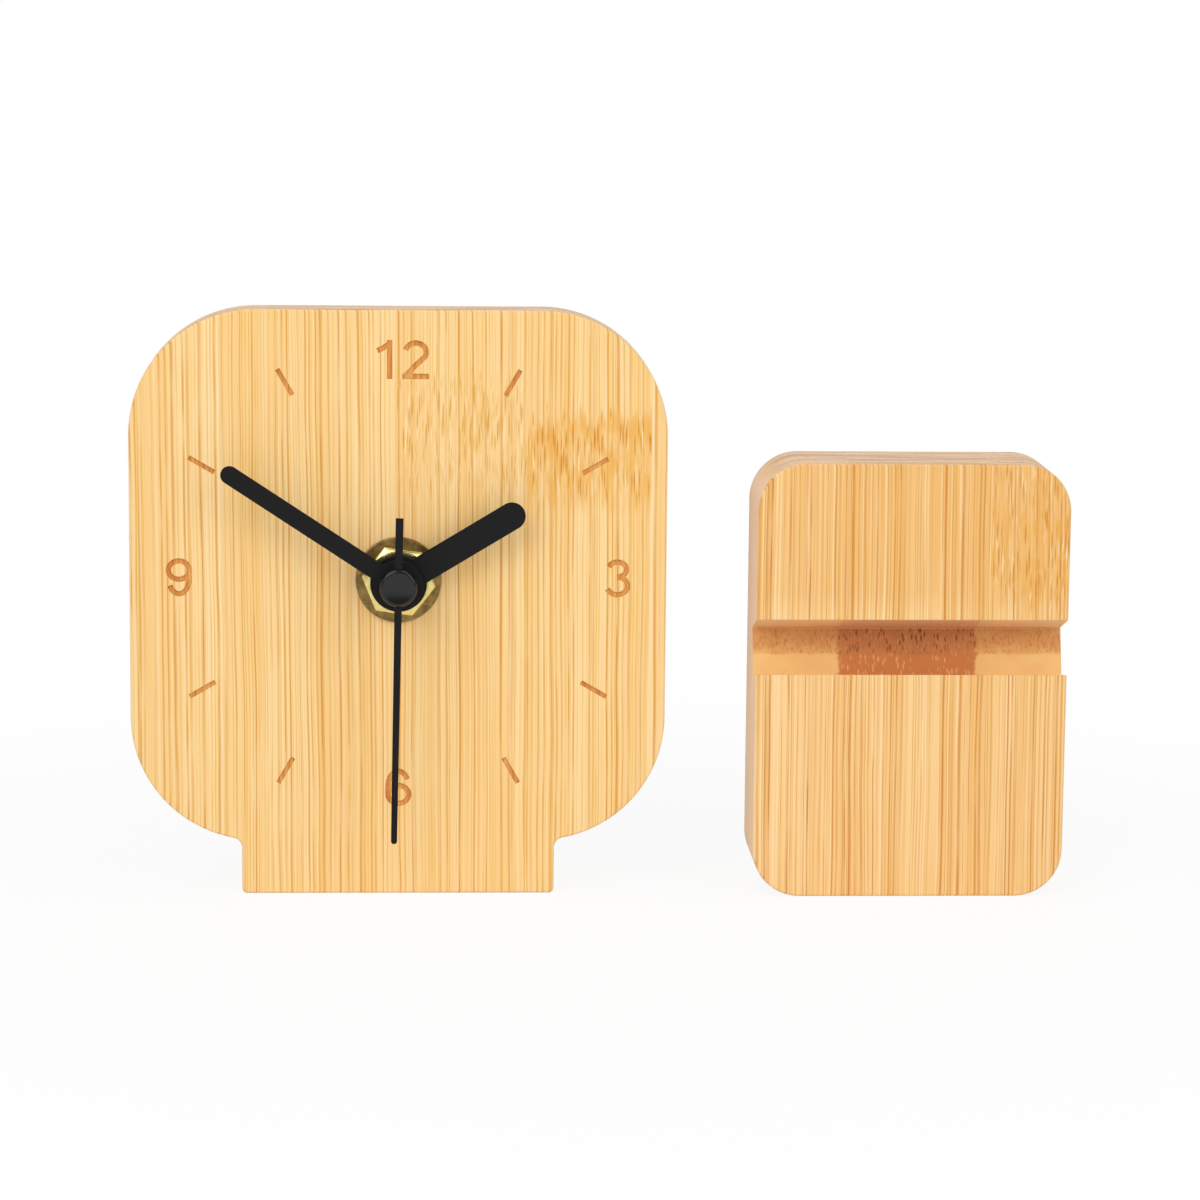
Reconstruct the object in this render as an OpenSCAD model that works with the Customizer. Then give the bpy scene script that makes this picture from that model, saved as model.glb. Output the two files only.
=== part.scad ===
// Bamboo desk clock with its loose base. The clock plate stands on its foot, the base
// stands on end beside it, and a quartz movement sits behind the dial. Millimetres,
// +Z up. The dial faces -Y, and the origin is the middle of the foot's underside.

/* [Clock plate] */
// Width and height of the square part of the plate
plate_w = 100; // [92:1:120]
// Thickness of the plate
plate_t = 9.5; // [8:0.5:12]
// Radius of the plate's four outer corners
plate_corner_r = 23.5; // [22:0.5:30]
// Width of the foot below the square part
foot_w = 58.7; // [54:0.1:64]
// Height of the foot
foot_h = 10.2; // [7:0.1:12]
// Radius of the foot's two lower corners
foot_corner_r = 1; // [0.5:0.25:2]
// Radius of the fillet where the foot meets the plate
foot_fillet_r = 2; // [1:0.25:3]
// Drop of the hands' axis below the middle of the square part
axis_drop = 0.3; // [0:0.1:2]
// Play of the bushing in the plate's hole, all round
plate_hole_play = 0.4; // [0.2:0.1:0.6]

/* [Dial figures] */
// Distance from the square part's side to the middle of an hour stroke
tick_margin = 7.8; // [7:0.1:12]
// Length of an hour stroke
tick_len = 5.5; // [3:0.5:6]
// Width of an hour stroke
tick_w = 0.9; // [0.6:0.1:1.4]
// Distance from the square part's side to the middle of the 12, the 3 and the 9
figure_margin = 9.2; // [8:0.2:13]
// Distance from the square part's side to the middle of the 6
six_margin = 10.2; // [8:0.2:13]
// Height of a number
figure_h = 7.2; // [5:0.2:8]
// Width of a digit
digit_w = 4.9; // [4:0.1:5.5]
// Distance between the middles of the two digits of 12
digit_pitch = 6.2; // [5.8:0.1:7.5]
// Width of the line that a number is drawn with
figure_line = 1; // [0.6:0.1:1.2]
// Depth of the engraving
engrave_depth = 0.3; // [0.2:0.1:0.8]

/* [Base] */
// Width of the base, which is the slot's length
base_w = 58.7; // [50:0.1:64]
// Height of the base as it stands on end
base_h = 82.3; // [70:0.1:95]
// Thickness of the base
base_t = 20; // [18:0.5:26]
// Radius of the base's four corners
base_corner_r = 9; // [5:0.5:12]
// Gap between the clock plate and the base
base_gap = 16.7; // [8:0.1:30]
// How far the base's front stands proud of the dial
base_proud = 3.1; // [0:0.1:6]
// Width of the slot beyond the plate's thickness
slot_play = 0.3; // [0.2:0.1:0.8]
// Length of the slot's upper wall, from its mouth to its floor
slot_depth = 9.5; // [7.5:0.1:11]
// Slant of the slot's walls
slot_slant = 18; // [12:1:24]
// Distance from the base's top to the slot's upper lip
slot_drop = 29.4; // [24:0.1:34]

/* [Hands] */
// Length of the hour hand from the axis to its tip
hour_hand_len = 27; // [20:0.2:34]
// Width of the hour hand
hour_hand_w = 5.1; // [3:0.1:6]
// Diameter of the hour hand's disc
hour_disc_d = 10.5; // [9:0.1:12]
// Length of the minute hand from the axis to its tip
minute_hand_len = 38.8; // [30:0.2:44]
// Width of the minute hand
minute_hand_w = 3.35; // [2:0.05:4.5]
// Diameter of the minute hand's disc
minute_disc_d = 9.2; // [8:0.1:10]
// Length of the second hand from the axis to its tip
second_hand_len = 48; // [36:0.2:50]
// Length of the second hand's tail
second_tail_len = 13; // [8:0.2:18]
// Width of the second hand
second_hand_w = 1.45; // [1:0.05:2]
// Thickness of the sheet that the hour and minute hands are cut from
hand_t = 0.5; // [0.3:0.05:0.6]
// Thickness of the second hand's sheet
second_hand_t = 0.4; // [0.3:0.05:0.5]
// Diameter of the round cap on the second hand
cap_d = 6.9; // [5:0.1:8]
// Thickness of that cap
cap_t = 2.5; // [2:0.1:3]
// Hour hand's angle, clockwise from 12
hour_angle = 58.8; // [0:0.1:360]
// Minute hand's angle, clockwise from 12
minute_angle = 303.3; // [0:0.1:360]
// Second hand's angle, clockwise from 12
second_angle = 180.9; // [0:0.1:360]

/* [Nut and washer] */
// Outer diameter of the brass washer
washer_d = 16; // [14:0.5:18]
// Thickness of the washer
washer_t = 1; // [0.6:0.1:1.4]
// Width of the hex nut across its flats
nut_af = 12; // [11:0.1:13]
// Thickness of the nut
nut_t = 2; // [1.6:0.1:3]
// Turn of the nut as it was tightened
nut_turn = 8; // [0:1:59]
// Outside diameter of the bushing's thread
bushing_d = 8; // [7.6:0.1:8.4]
// Pitch of the bushing's thread
thread_pitch = 0.75; // [0.5:0.05:1]
// Outer diameter of the rubber gasket
gasket_d = 20; // [16:0.5:24]
// Thickness of the gasket
gasket_t = 1; // [0.6:0.1:1.5]

/* [Movement case] */
// Room for a contact at each end of the cell
contact_room = 1.55; // [1.5:0.05:3]
// Wall of the case
case_wall = 1.2; // [1:0.1:1.3]
// Radius of the case's outer corners
case_corner_r = 3; // [2:0.5:5]
// Diameter of the AA cell
cell_d = 14.5; // [13.5:0.1:14.5]
// Length of the cell with its button
cell_len = 50.5; // [49:0.1:50.5]
// Diameter of the setting knob
knob_d = 12; // [10:0.5:13]
// Thickness of the setting knob
knob_t = 2.2; // [1.8:0.1:3]
// Ribs round the setting knob
knob_ribs = 24; // [16:1:32]

/* [Gear train] */
// Thickness of the train's wheels
wheel_t = 0.6; // [0.5:0.05:0.7]
// Thickness of the middle plate and the gear bridge
carrier_t = 1; // [0.8:0.1:1.1]
// Gap between layers of wheels
layer_gap = 0.3; // [0.25:0.05:0.35]
// Diameter of the train's arbors
arbor_d = 0.8; // [0.7:0.05:0.9]
// Running play of an arbor in its bearing, all round
bearing_play = 0.06; // [0.04:0.01:0.08]
// Distance from the hands' axis to the third wheel's axis
third_reach = 9; // [8.9:0.05:9.2]
// Distance from the hands' axis to the motion wheel's axis
motion_reach = 8.4; // [8.3:0.05:8.6]
// Distance from the hands' axis to the intermediate wheel's axis
intermediate_reach = 7.2; // [7.1:0.05:7.3]
// Distance from the intermediate wheel's axis to the rotor's
rotor_reach = 7; // [6.9:0.05:7.1]
// Diameter of the rotor's magnet
magnet_d = 4; // [3.6:0.1:4.2]
// Outer diameter of the coil's winding
coil_d = 6.6; // [5.5:0.1:7]

/* [Hidden] */
$fn = 64;

// Overrun of every cut, the play between pieces of one body that are pressed together, and how
// far the foot's fillet circles run into those of the plate's corners, so that they cross
overrun = 0.5;
press_play = 0.02;
fillet_sink = 0.005;

// Heights on the plate: its square part's middle, the hands' axis and the plate's top
plate_mid_z = foot_h + plate_w / 2;
axis_z = plate_mid_z - axis_drop;
tick_ring_r = plate_w / 2 - tick_margin;
figure_ring_r = plate_w / 2 - figure_margin;
six_r = plate_w / 2 - six_margin;
arc_x = plate_w / 2 - plate_corner_r;
arc_z = foot_h + plate_corner_r;
fillet_x = foot_w / 2 + foot_fillet_r;
fillet_off = max(0, fillet_x - arc_x);
fillet_z = arc_z - sqrt(pow(plate_corner_r + foot_fillet_r - fillet_sink, 2) - pow(fillet_off, 2));

// Layers in front of the dial, from the dial towards the viewer
dial_y = -plate_t / 2;
bushing_proud = 0.6;
hand_gap = 1.2;
collar_len = 0.9;
cap_gap = 1.7;
cap_cover = 0.55;
tube_proud = 0.1;
washer_y = dial_y - washer_t;
nut_y = washer_y - nut_t;
bushing_y = nut_y - bushing_proud;
hour_back_y = bushing_y - hand_gap;
hour_y = hour_back_y - hand_t;
minute_back_y = hour_y - hand_gap - hand_t;
minute_y = minute_back_y - hand_t;
cap_back_y = minute_y - cap_gap;
cap_y = cap_back_y - cap_t;
second_y = cap_y + cap_cover;
second_back_y = second_y + second_hand_t;
second_collar_d = 1.9;
second_collar_y = cap_back_y + cap_gap / 2;

// Tubes of the hands, one inside the other
bushing_bore_d = 5.16;
hour_tube_d = bushing_bore_d - 2 * bearing_play;
minute_tube_d = 3.4;
hour_tube_bore_d = minute_tube_d + 2 * bearing_play;
minute_bore_d = arbor_d + 2 * bearing_play;
hour_collar_d = 6.8;
minute_collar_d = 5;
bushing_flange_d = 11;
bushing_flange_t = 0.8;
thread_depth = 0.4;
plate_hole_d = bushing_d + 2 * plate_hole_play;

// Layers behind the plate, from its back towards the rear
back_y = plate_t / 2;
case_y = back_y + gasket_t;
floor_y = case_y + case_wall;
flange_y = floor_y + bushing_flange_t;
hour_wheel_t = wheel_t + 0.2 * wheel_t;
hour_wheel_y = flange_y + layer_gap;
motion_wheel_y = hour_wheel_y + hour_wheel_t + layer_gap;
cannon_end_y = motion_wheel_y + wheel_t + layer_gap;
clutch_t = 0.2;
minute_wheel_y = cannon_end_y + layer_gap + clutch_t;
cannon_tail_y = minute_wheel_y + wheel_t + layer_gap;
middle_y = cannon_tail_y + layer_gap;
third_wheel_y = middle_y + carrier_t + layer_gap;
second_wheel_y = third_wheel_y + wheel_t + layer_gap;
intermediate_y = second_wheel_y + wheel_t + layer_gap;
pinion_over = layer_gap / 3;
stator_t = wheel_t;
stator_y = third_wheel_y + wheel_t + layer_gap;
bridge_y = intermediate_y + wheel_t + layer_gap;
board_gap = 0.5;
board_t = 0.8;
board_y = bridge_y + carrier_t + board_gap;
cell_play = 0.15;
crystal_d = 1.5;
lid_gap = 0.2;
bay_d = max(cell_d + 2 * cell_play, board_y + board_t + crystal_d + lid_gap + case_wall - floor_y);
rear_y = floor_y + bay_d;
lid_y = rear_y - case_wall;
split_y = (case_y + rear_y) / 2;
cell_y = rear_y - cell_play - cell_d / 2;

// The case is square, wide enough for the cell with its contacts and for the coil
coil_z = 22.2;
coil_flange = 7.6;
coil_side_gap = 0.6;
inner_w = max(cell_len + 2 * contact_room, 2 * coil_z + coil_flange + 2 * coil_side_gap);
case_w = inner_w + 2 * case_wall;

// The case seen from the front, about the hands' axis
cell_z = -case_w / 2 + case_wall + cell_play + cell_d / 2;
partition_t = 1;
partition_z = cell_z + cell_d / 2 + cell_play;
contact_t = 0.3;
contact_gap = 0.15;
contact_lane = 1.7;
hook_w = 5;
hook_t = 0.8;
hook_len = 3;
hook_x = 0.37 * case_w;
hook_z = case_w / 7;

// Teeth of the train. A rotor step of half a turn each second gives one turn a minute
rotor_teeth = 10;
intermediate_teeth = 60;
intermediate_pinion_teeth = 12;
second_teeth = 60;
second_pinion_teeth = 8;
third_teeth = 64;
third_pinion_teeth = 8;
minute_teeth = 60;
cannon_teeth = 14;
motion_teeth = 42;
motion_pinion_teeth = 10;
hour_teeth = 40;
setting_teeth = 14;

// Directions of the axes, counterclockwise from +X as seen from the front
third_angle = 120;
motion_angle = 200;
intermediate_angle = 35;
rotor_angle = 75;
setting_angle = 160;

// Tooth shape, as shares of the module and of one tooth's angle
addendum_share = 0.9;
dedendum_share = 1.15;
root_share = 0.56;
flank_share = 0.4;
tip_share = 0.18;

function module_of(reach, za, zb) = 2 * reach / (za + zb);
third_module = module_of(third_reach, second_pinion_teeth, third_teeth);
centre_module = module_of(third_reach, third_pinion_teeth, minute_teeth);
cannon_module = module_of(motion_reach, cannon_teeth, motion_teeth);
hour_module = module_of(motion_reach, motion_pinion_teeth, hour_teeth);
fine_module = module_of(intermediate_reach, intermediate_pinion_teeth, second_teeth);
rotor_module = module_of(rotor_reach, rotor_teeth, intermediate_teeth);

function polar(r, a) = [r * cos(a), r * sin(a)];
third_at = polar(third_reach, third_angle);
motion_at = polar(motion_reach, motion_angle);
intermediate_at = polar(intermediate_reach, intermediate_angle);
rotor_at = intermediate_at + polar(rotor_reach, rotor_angle);
setting_at = motion_at + polar(motion_reach, setting_angle);

// A gear's turn that puts its gap opposite the tooth of the gear it meshes with.
// towards is the direction from the first gear to the second
function meshed(towards, first_turn, first_teeth, teeth) =
    towards + 180 - (first_turn - towards) * first_teeth / teeth + 180 / teeth;
motion_turn = meshed(motion_angle, 0, cannon_teeth, motion_teeth);
setting_turn = meshed(setting_angle, motion_turn, motion_teeth, setting_teeth);
hour_turn = meshed(motion_angle + 180, 0, motion_pinion_teeth, hour_teeth);
third_turn = meshed(third_angle, 0, second_pinion_teeth, third_teeth);
minute_turn = meshed(third_angle + 180, 0, third_pinion_teeth, minute_teeth);
second_turn = meshed(intermediate_angle + 180, 0, intermediate_pinion_teeth, second_teeth);
intermediate_turn = meshed(rotor_angle + 180, 0, rotor_teeth, intermediate_teeth);

// Carriers, seen from the front about the hands' axis
carrier_left = -19;
carrier_right = 23;
carrier_low = -10;
carrier_high = 18;
pillar_d = 3;
pillar_x = 15;
pillar_low = -8;
pillar_high = 16.4;
post_d = 1.2;
post_base_d = 2.8;
boss_d = 2.6;
setting_shaft_d = 2;
setting_boss_d = 3.4;
knob_side_play = 1;
knob_floor_play = 0.4;
knob_proud = 0.4;
knob_y = rear_y + knob_proud - knob_t;
knob_floor_y = knob_y - knob_floor_play;
cup_d = knob_d + 2 * knob_side_play;

// Motor parts, seen from the front about the hands' axis
coil_left = 3.4;
coil_right = 16.6;
coil_flange_t = 0.8;
core_w = 3;
core_t = 0.7;
core_reach = 2.6;
stator_arm_w = 5;
stator_bar_h = 6.6;
stator_hole_d = magnet_d + 2 * layer_gap;
coil_mid_x = (coil_left + coil_right) / 2;
coil_len = coil_right - coil_left;
coil_gap = 1;
arm_off = (coil_len + stator_arm_w) / 2 + coil_gap;
arm_x = [coil_mid_x - arm_off, coil_mid_x + arm_off];
core_y = stator_y + stator_t;
coil_y = core_y + core_t / 2;
magnet_y = stator_y - layer_gap / 3;
board_left = -6;
board_right = 18;
board_low = 0;
board_high = 16;
board_post_d = 2;
crystal_len = 5;
chip_d = 6;
chip_h = 0.9;

// A slab between two Y values, drawn as seen from the front
module slab(from_y, to_y) {
    translate([0, to_y, 0]) rotate([90, 0, 0]) linear_extrude(to_y - from_y) children();
}

// The same, drawn about the hands' axis
module layer(from_y, to_y) {
    translate([0, 0, axis_z]) slab(from_y, to_y) children();
}

module disc(d, at = [0, 0]) {
    translate(at) circle(d = d);
}

module block(left, right, low, high) {
    translate([left, low]) square([right - left, high - low]);
}

module slot(w, h, at) {
    translate(at) square([w, h], center = true);
}

module rounded_block(w, h, r) {
    square([w - 2 * r, h], center = true);
    square([w, h - 2 * r], center = true);
    for (x = [-1, 1], z = [-1, 1]) disc(2 * r, [x * (w / 2 - r), z * (h / 2 - r)]);
}

// A toothed wheel with straight flanks, its first tooth on +X before it is turned
function tooth(a, step, r, m) = [
    for (p = [[-root_share, -dedendum_share], [-flank_share, 0], [-tip_share, addendum_share],
              [tip_share, addendum_share], [flank_share, 0], [root_share, -dedendum_share]])
        polar(r + p[1] * m, a + p[0] * step / 2)];
module toothed(teeth, m, turn = 0, at = [0, 0]) {
    step = 360 / teeth;
    points = [for (i = [0 : teeth - 1]) each tooth(i * step, step, teeth * m / 2, m)];
    translate(at) rotate(turn) polygon(points);
}

// An elliptic arc, and a line of even width along a list of points
function arc(at, rx, rz, from_a, to_a, steps) = [
    for (i = [0 : steps])
        let (a = from_a + (to_a - from_a) * i / steps) at + [rx * cos(a), rz * sin(a)]];
function heading(points, i) =
    let (d = points[min(i + 1, len(points) - 1)] - points[max(i - 1, 0)]) d / norm(d);
function beside(points, off) = [
    for (i = [0 : len(points) - 1])
        let (h = heading(points, i)) points[i] + off * [-h[1], h[0]]];
function reversed(list) = [for (i = [len(list) - 1 : -1 : 0]) list[i]];
module line(points) {
    polygon(concat(beside(points, figure_line / 2), reversed(beside(points, -figure_line / 2))));
}

// The digits, each centred, drawn with lines in the middle of a box digit_w by figure_h
digit_rx = (digit_w - figure_line) / 2;
digit_rz = (figure_h - figure_line) / 2;
bowl_rz = 0.56 * digit_rz;
module digit_one() {
    stem_x = 0.28 * digit_w;
    block(stem_x - figure_line / 2, stem_x + figure_line / 2, -figure_h / 2, figure_h / 2);
    line([[stem_x, 0.42 * figure_h], [0.02 * digit_w, 0.29 * figure_h],
        [-0.18 * digit_w, 0.23 * figure_h]]);
}
module digit_two() {
    bowl_z = digit_rz - bowl_rz;
    line(concat(arc([0, bowl_z], digit_rx, bowl_rz, 165, -25, 14),
        [[-0.12 * digit_w, -0.22 * figure_h], [-digit_rx, -digit_rz]]));
    block(-digit_w / 2, digit_w / 2, -figure_h / 2, -figure_h / 2 + figure_line);
}
module digit_three() {
    upper_rz = 0.46 * digit_rz;
    lower_rz = digit_rz - upper_rz;
    line(arc([0, digit_rz - upper_rz], 0.88 * digit_rx, upper_rz, 160, -90, 14));
    line(arc([0, lower_rz - digit_rz], digit_rx, lower_rz, 90, -160, 14));
}
module digit_nine() {
    bowl_z = digit_rz - bowl_rz;
    difference() {
        polygon(arc([0, bowl_z], digit_rx + figure_line / 2, bowl_rz + figure_line / 2, 0, 345, 24));
        polygon(arc([0, bowl_z], digit_rx - figure_line / 2, bowl_rz - figure_line / 2, 0, 345, 24));
    }
    line(concat([[digit_rx, bowl_z]], arc([0, 0], digit_rx, digit_rz, 0, -150, 14)));
}
module digit_six() {
    rotate(180) digit_nine();
}
module figures() {
    for (hour = [1 : 12])
        if (hour % 3 != 0)
            rotate(-30 * hour) slot(tick_w, tick_len, [0, tick_ring_r]);
    translate([-digit_pitch / 2, figure_ring_r]) digit_one();
    translate([digit_pitch / 2, figure_ring_r]) digit_two();
    translate([figure_ring_r, 0]) digit_three();
    translate([0, -six_r]) digit_six();
    translate([-figure_ring_r, 0]) digit_nine();
}

// The bamboo clock plate: a rounded square on a narrower foot, bored for the movement
// and engraved with the dial
module plate_outline() {
    half_w = foot_w / 2;
    edge = [[half_w, foot_corner_r], [half_w, fillet_z], [fillet_x, fillet_z],
        [fillet_x - fillet_off, arc_z]];
    translate([0, plate_mid_z]) rounded_block(plate_w, plate_w, plate_corner_r);
    difference() {
        polygon(concat(edge, reversed([for (p = edge) [-p[0], p[1]]])));
        for (x = [-1, 1] * fillet_x) disc(2 * foot_fillet_r, [x, fillet_z]);
    }
    block(foot_corner_r - half_w, half_w - foot_corner_r, 0, foot_h);
    for (x = [-1, 1] * (half_w - foot_corner_r)) disc(2 * foot_corner_r, [x, foot_corner_r]);
}
module dial_plate() {
    color("burlywood") difference() {
        slab(dial_y, back_y) plate_outline();
        layer(dial_y - overrun, back_y + overrun) disc(plate_hole_d);
        translate([0, 0, plate_mid_z]) slab(dial_y - overrun, dial_y + engrave_depth) figures();
    }
}

// The bamboo base on end, its slanted slot open to the front and to both sides
base_x = plate_w / 2 + base_gap + base_w / 2;
base_y = dial_y - base_proud;
slot_w = plate_t + slot_play;
slot_z = base_h - slot_drop;
module base_block() {
    color("burlywood") difference() {
        translate([base_x, 0, base_h / 2])
            slab(base_y, base_y + base_t) rounded_block(base_w, base_h, base_corner_r);
        translate([base_x, base_y, slot_z]) rotate([-slot_slant, 0, 0])
            translate([-base_w / 2 - overrun, -slot_w, -slot_w])
                cube([base_w + 2 * overrun, slot_depth + slot_w, slot_w]);
    }
}

// Brass washer, hexagon nut and threaded bushing that clamp the movement to the plate
module washer() {
    color("darkgoldenrod") layer(washer_y, dial_y) difference() {
        disc(washer_d);
        disc(plate_hole_d);
    }
}
module hex_nut() {
    nut_corner_d = nut_af / cos(30);
    chamfer = (nut_corner_d - nut_af) / 2;
    color("gold") translate([0, 0, axis_z]) difference() {
        intersection() {
            slab(nut_y, washer_y) rotate(-nut_turn) circle(d = nut_corner_d, $fn = 6);
            union() {
                slab(nut_y + chamfer, washer_y) disc(nut_corner_d + overrun);
                translate([0, nut_y + chamfer, 0]) rotate([90, 0, 0])
                    cylinder(d1 = nut_corner_d, d2 = nut_af, h = chamfer);
            }
        }
        slab(nut_y - overrun, washer_y + overrun) disc(bushing_d + 2 * press_play);
    }
}
module threaded_bushing() {
    thread_r = bushing_d / 2;
    root_r = thread_r - thread_depth;
    turns = floor((back_y - bushing_y) / thread_pitch);
    ridges = [
        for (i = [0 : turns - 1]) each [[root_r, i * thread_pitch], [thread_r, (i + 0.5) * thread_pitch]]];
    length = floor_y - bushing_y;
    plain = turns * thread_pitch;
    color("goldenrod") translate([0, bushing_y, axis_z]) rotate([-90, 0, 0]) difference() {
        rotate_extrude() polygon(concat([[0, 0]], ridges, [[root_r, plain], [thread_r, plain],
            [thread_r, length], [bushing_flange_d / 2, length],
            [bushing_flange_d / 2, length + bushing_flange_t], [0, length + bushing_flange_t]]));
        translate([0, 0, -overrun])
            cylinder(d = bushing_bore_d, h = length + bushing_flange_t + 2 * overrun);
    }
}
module rubber_gasket() {
    color("dimgray") layer(back_y, case_y) difference() {
        disc(gasket_d);
        disc(bushing_d + 2 * press_play);
    }
}

// Snap hooks of the front case and the windows for them in the rear case
module hook_pairs() {
    for (side = [-1, 1]) {
        slot(hook_t, hook_w, [side * (inner_w - hook_t) / 2, hook_z]);
        slot(hook_w, hook_t, [side * hook_x, (inner_w - hook_t) / 2]);
    }
}
module nib_pairs(play) {
    for (side = [-1, 1]) {
        slot(case_wall, hook_w + 2 * play, [side * (inner_w + case_wall) / 2, hook_z]);
        slot(hook_w + 2 * play, case_wall, [side * hook_x, (inner_w + case_wall) / 2]);
    }
}
module case_ring() {
    difference() {
        rounded_block(case_w, case_w, case_corner_r);
        rounded_block(inner_w, inner_w, case_corner_r - case_wall);
    }
}
module partition() {
    slot(inner_w - 2 * contact_lane, partition_t, [0, partition_z + partition_t / 2]);
}
module pillars(d) {
    for (x = [-1, 1] * pillar_x, z = [pillar_low, pillar_high]) disc(d, [x, z]);
}

// The two halves of the movement's black case. The cell's bay is open to the rear
module front_case() {
    color([0.12, 0.12, 0.13]) difference() {
        union() {
            layer(case_y, floor_y) rounded_block(case_w, case_w, case_corner_r);
            layer(floor_y, split_y) case_ring();
            layer(floor_y, split_y) partition();
            layer(floor_y, middle_y) pillars(pillar_d);
            layer(floor_y, hour_wheel_y - layer_gap / 2) disc(post_base_d, motion_at);
            layer(floor_y, cannon_end_y) disc(post_d, motion_at);
            layer(floor_y, cannon_end_y) disc(boss_d, third_at);
            layer(floor_y, hour_wheel_y + layer_gap) disc(setting_boss_d, setting_at);
            layer(floor_y, split_y + hook_len) hook_pairs();
            layer(split_y + hook_len / 2, split_y + hook_len) nib_pairs(0);
        }
        layer(case_y - overrun, floor_y + overrun) disc(bushing_d + 2 * press_play);
        layer(hour_wheel_y + layer_gap, cannon_end_y + overrun) disc(arbor_d + 2 * bearing_play, third_at);
        layer(floor_y, cannon_end_y) disc(setting_shaft_d + 2 * bearing_play, setting_at);
    }
}
module rear_case() {
    color([0.15, 0.15, 0.16]) difference() {
        union() {
            layer(split_y, rear_y) case_ring();
            layer(split_y, rear_y) partition();
            layer(lid_y, rear_y) intersection() {
                rounded_block(case_w, case_w, case_corner_r);
                block(-case_w / 2, case_w / 2, partition_z, case_w / 2);
            }
            layer(knob_floor_y - case_wall, lid_y) disc(cup_d + 2 * case_wall, setting_at);
        }
        layer(knob_floor_y, rear_y + overrun) disc(cup_d, setting_at);
        layer(split_y, rear_y) disc(setting_shaft_d + 2 * bearing_play, setting_at);
        layer(split_y + hook_len / 2 - press_play, split_y + hook_len + press_play) nib_pairs(press_play);
        layer(rear_y - cell_d / 3, rear_y + overrun) disc(cell_d, [0, -case_w / 2]);
    }
}

// The plates that carry the train between them
module carrier() {
    block(carrier_left, carrier_right, carrier_low, carrier_high);
}
module middle_plate() {
    color("white") difference() {
        union() {
            layer(middle_y, middle_y + carrier_t) carrier();
            layer(middle_y + carrier_t, bridge_y) pillars(pillar_d);
            for (x = arm_x) layer(middle_y + carrier_t, stator_y) disc(board_post_d, [x, pillar_high]);
        }
        layer(middle_y - overrun, middle_y + carrier_t + overrun) {
            disc(arbor_d + 2 * bearing_play);
            disc(arbor_d + 2 * bearing_play, intermediate_at);
            disc(arbor_d + 2 * bearing_play, rotor_at);
            disc(arbor_d + 2 * bearing_play, third_at);
            disc(setting_shaft_d + 2 * bearing_play, setting_at);
        }
    }
}
module gear_bridge() {
    color("whitesmoke") difference() {
        union() {
            layer(bridge_y, bridge_y + carrier_t) carrier();
            layer(bridge_y + carrier_t, board_y)
                for (x = [board_left + board_post_d, board_right - board_post_d],
                     z = [board_low + board_post_d, board_high - board_post_d])
                    disc(board_post_d, [x, z]);
        }
        layer(bridge_y - overrun, bridge_y + carrier_t + overrun) {
            disc(arbor_d + 2 * bearing_play);
            disc(arbor_d + 2 * bearing_play, intermediate_at);
            disc(arbor_d + 2 * bearing_play, rotor_at);
            disc(arbor_d + 2 * bearing_play, third_at);
            disc(setting_shaft_d + 2 * bearing_play, setting_at);
        }
    }
}

// The AA cell, its button to +X, and the sheet contacts at its two ends
button_d = 5.4;
button_len = 1;
contact_w = 8;
contact_x = cell_len / 2 + contact_gap;
arm_w = 2;
module battery() {
    can_len = cell_len - button_len;
    rim = cell_d / 16;
    color("steelblue") translate([-cell_len / 2, cell_y, axis_z + cell_z]) rotate([0, 90, 0])
        rotate_extrude() polygon([[0, 0], [cell_d / 2 - rim, 0], [cell_d / 2, rim],
            [cell_d / 2, can_len - rim], [cell_d / 2 - rim, can_len], [button_d / 2, can_len],
            [button_d / 2, cell_len], [0, cell_len]]);
}
module contact(board_edge, arm_z) {
    strip_z = arm_z - cell_z + arm_w / 2;
    translate([contact_x, 0, axis_z]) {
        translate([0, cell_y - contact_w / 2, cell_z - contact_w / 2])
            cube([contact_t, contact_w, contact_w]);
        translate([0, cell_y, cell_z]) cube([contact_t, board_y - cell_y, strip_z]);
    }
    layer(board_y - contact_t, board_y)
        block(board_edge, contact_x + contact_t, arm_z - arm_w / 2, arm_z + arm_w / 2);
}
module positive_contact() {
    color("silver") contact(board_right - arm_w, board_low + 3 * arm_w);
}
module negative_contact() {
    leaf_x = inner_w / 2 - contact_x - contact_t - contact_gap;
    leaf_w = contact_w / 2;
    color("lightgray") mirror([1, 0, 0]) {
        contact(-board_left - arm_w, board_high - 3 * arm_w);
        translate([contact_x + contact_t, cell_y, axis_z + cell_z - contact_w / 2])
            linear_extrude(contact_w)
                polygon([[0, -leaf_w], [leaf_x, 0], [0, leaf_w], [0, leaf_w - contact_t],
                    [leaf_x - contact_t, 0], [0, contact_t - leaf_w]]);
    }
}

// The circuit: board, crystal and chip
module circuit_board() {
    color("darkgreen") layer(board_y, board_y + board_t)
        block(board_left, board_right, board_low, board_high);
}
module quartz_crystal() {
    crystal_y = board_y + board_t + crystal_d / 2;
    color("lightsteelblue") translate([board_right - 2 * crystal_d, crystal_y, axis_z + board_high / 2])
        cylinder(d = crystal_d, h = crystal_len, center = true);
}
module driver_chip() {
    dome = [for (a = [0 : 15 : 75]) [chip_d / 2 * cos(a), chip_h * sin(a)]];
    color("black") translate([board_left + chip_d, board_y + board_t, axis_z + board_high / 2])
        rotate([-90, 0, 0]) rotate_extrude() polygon(concat([[0, 0]], dome, [[0, chip_h]]));
}

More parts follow.
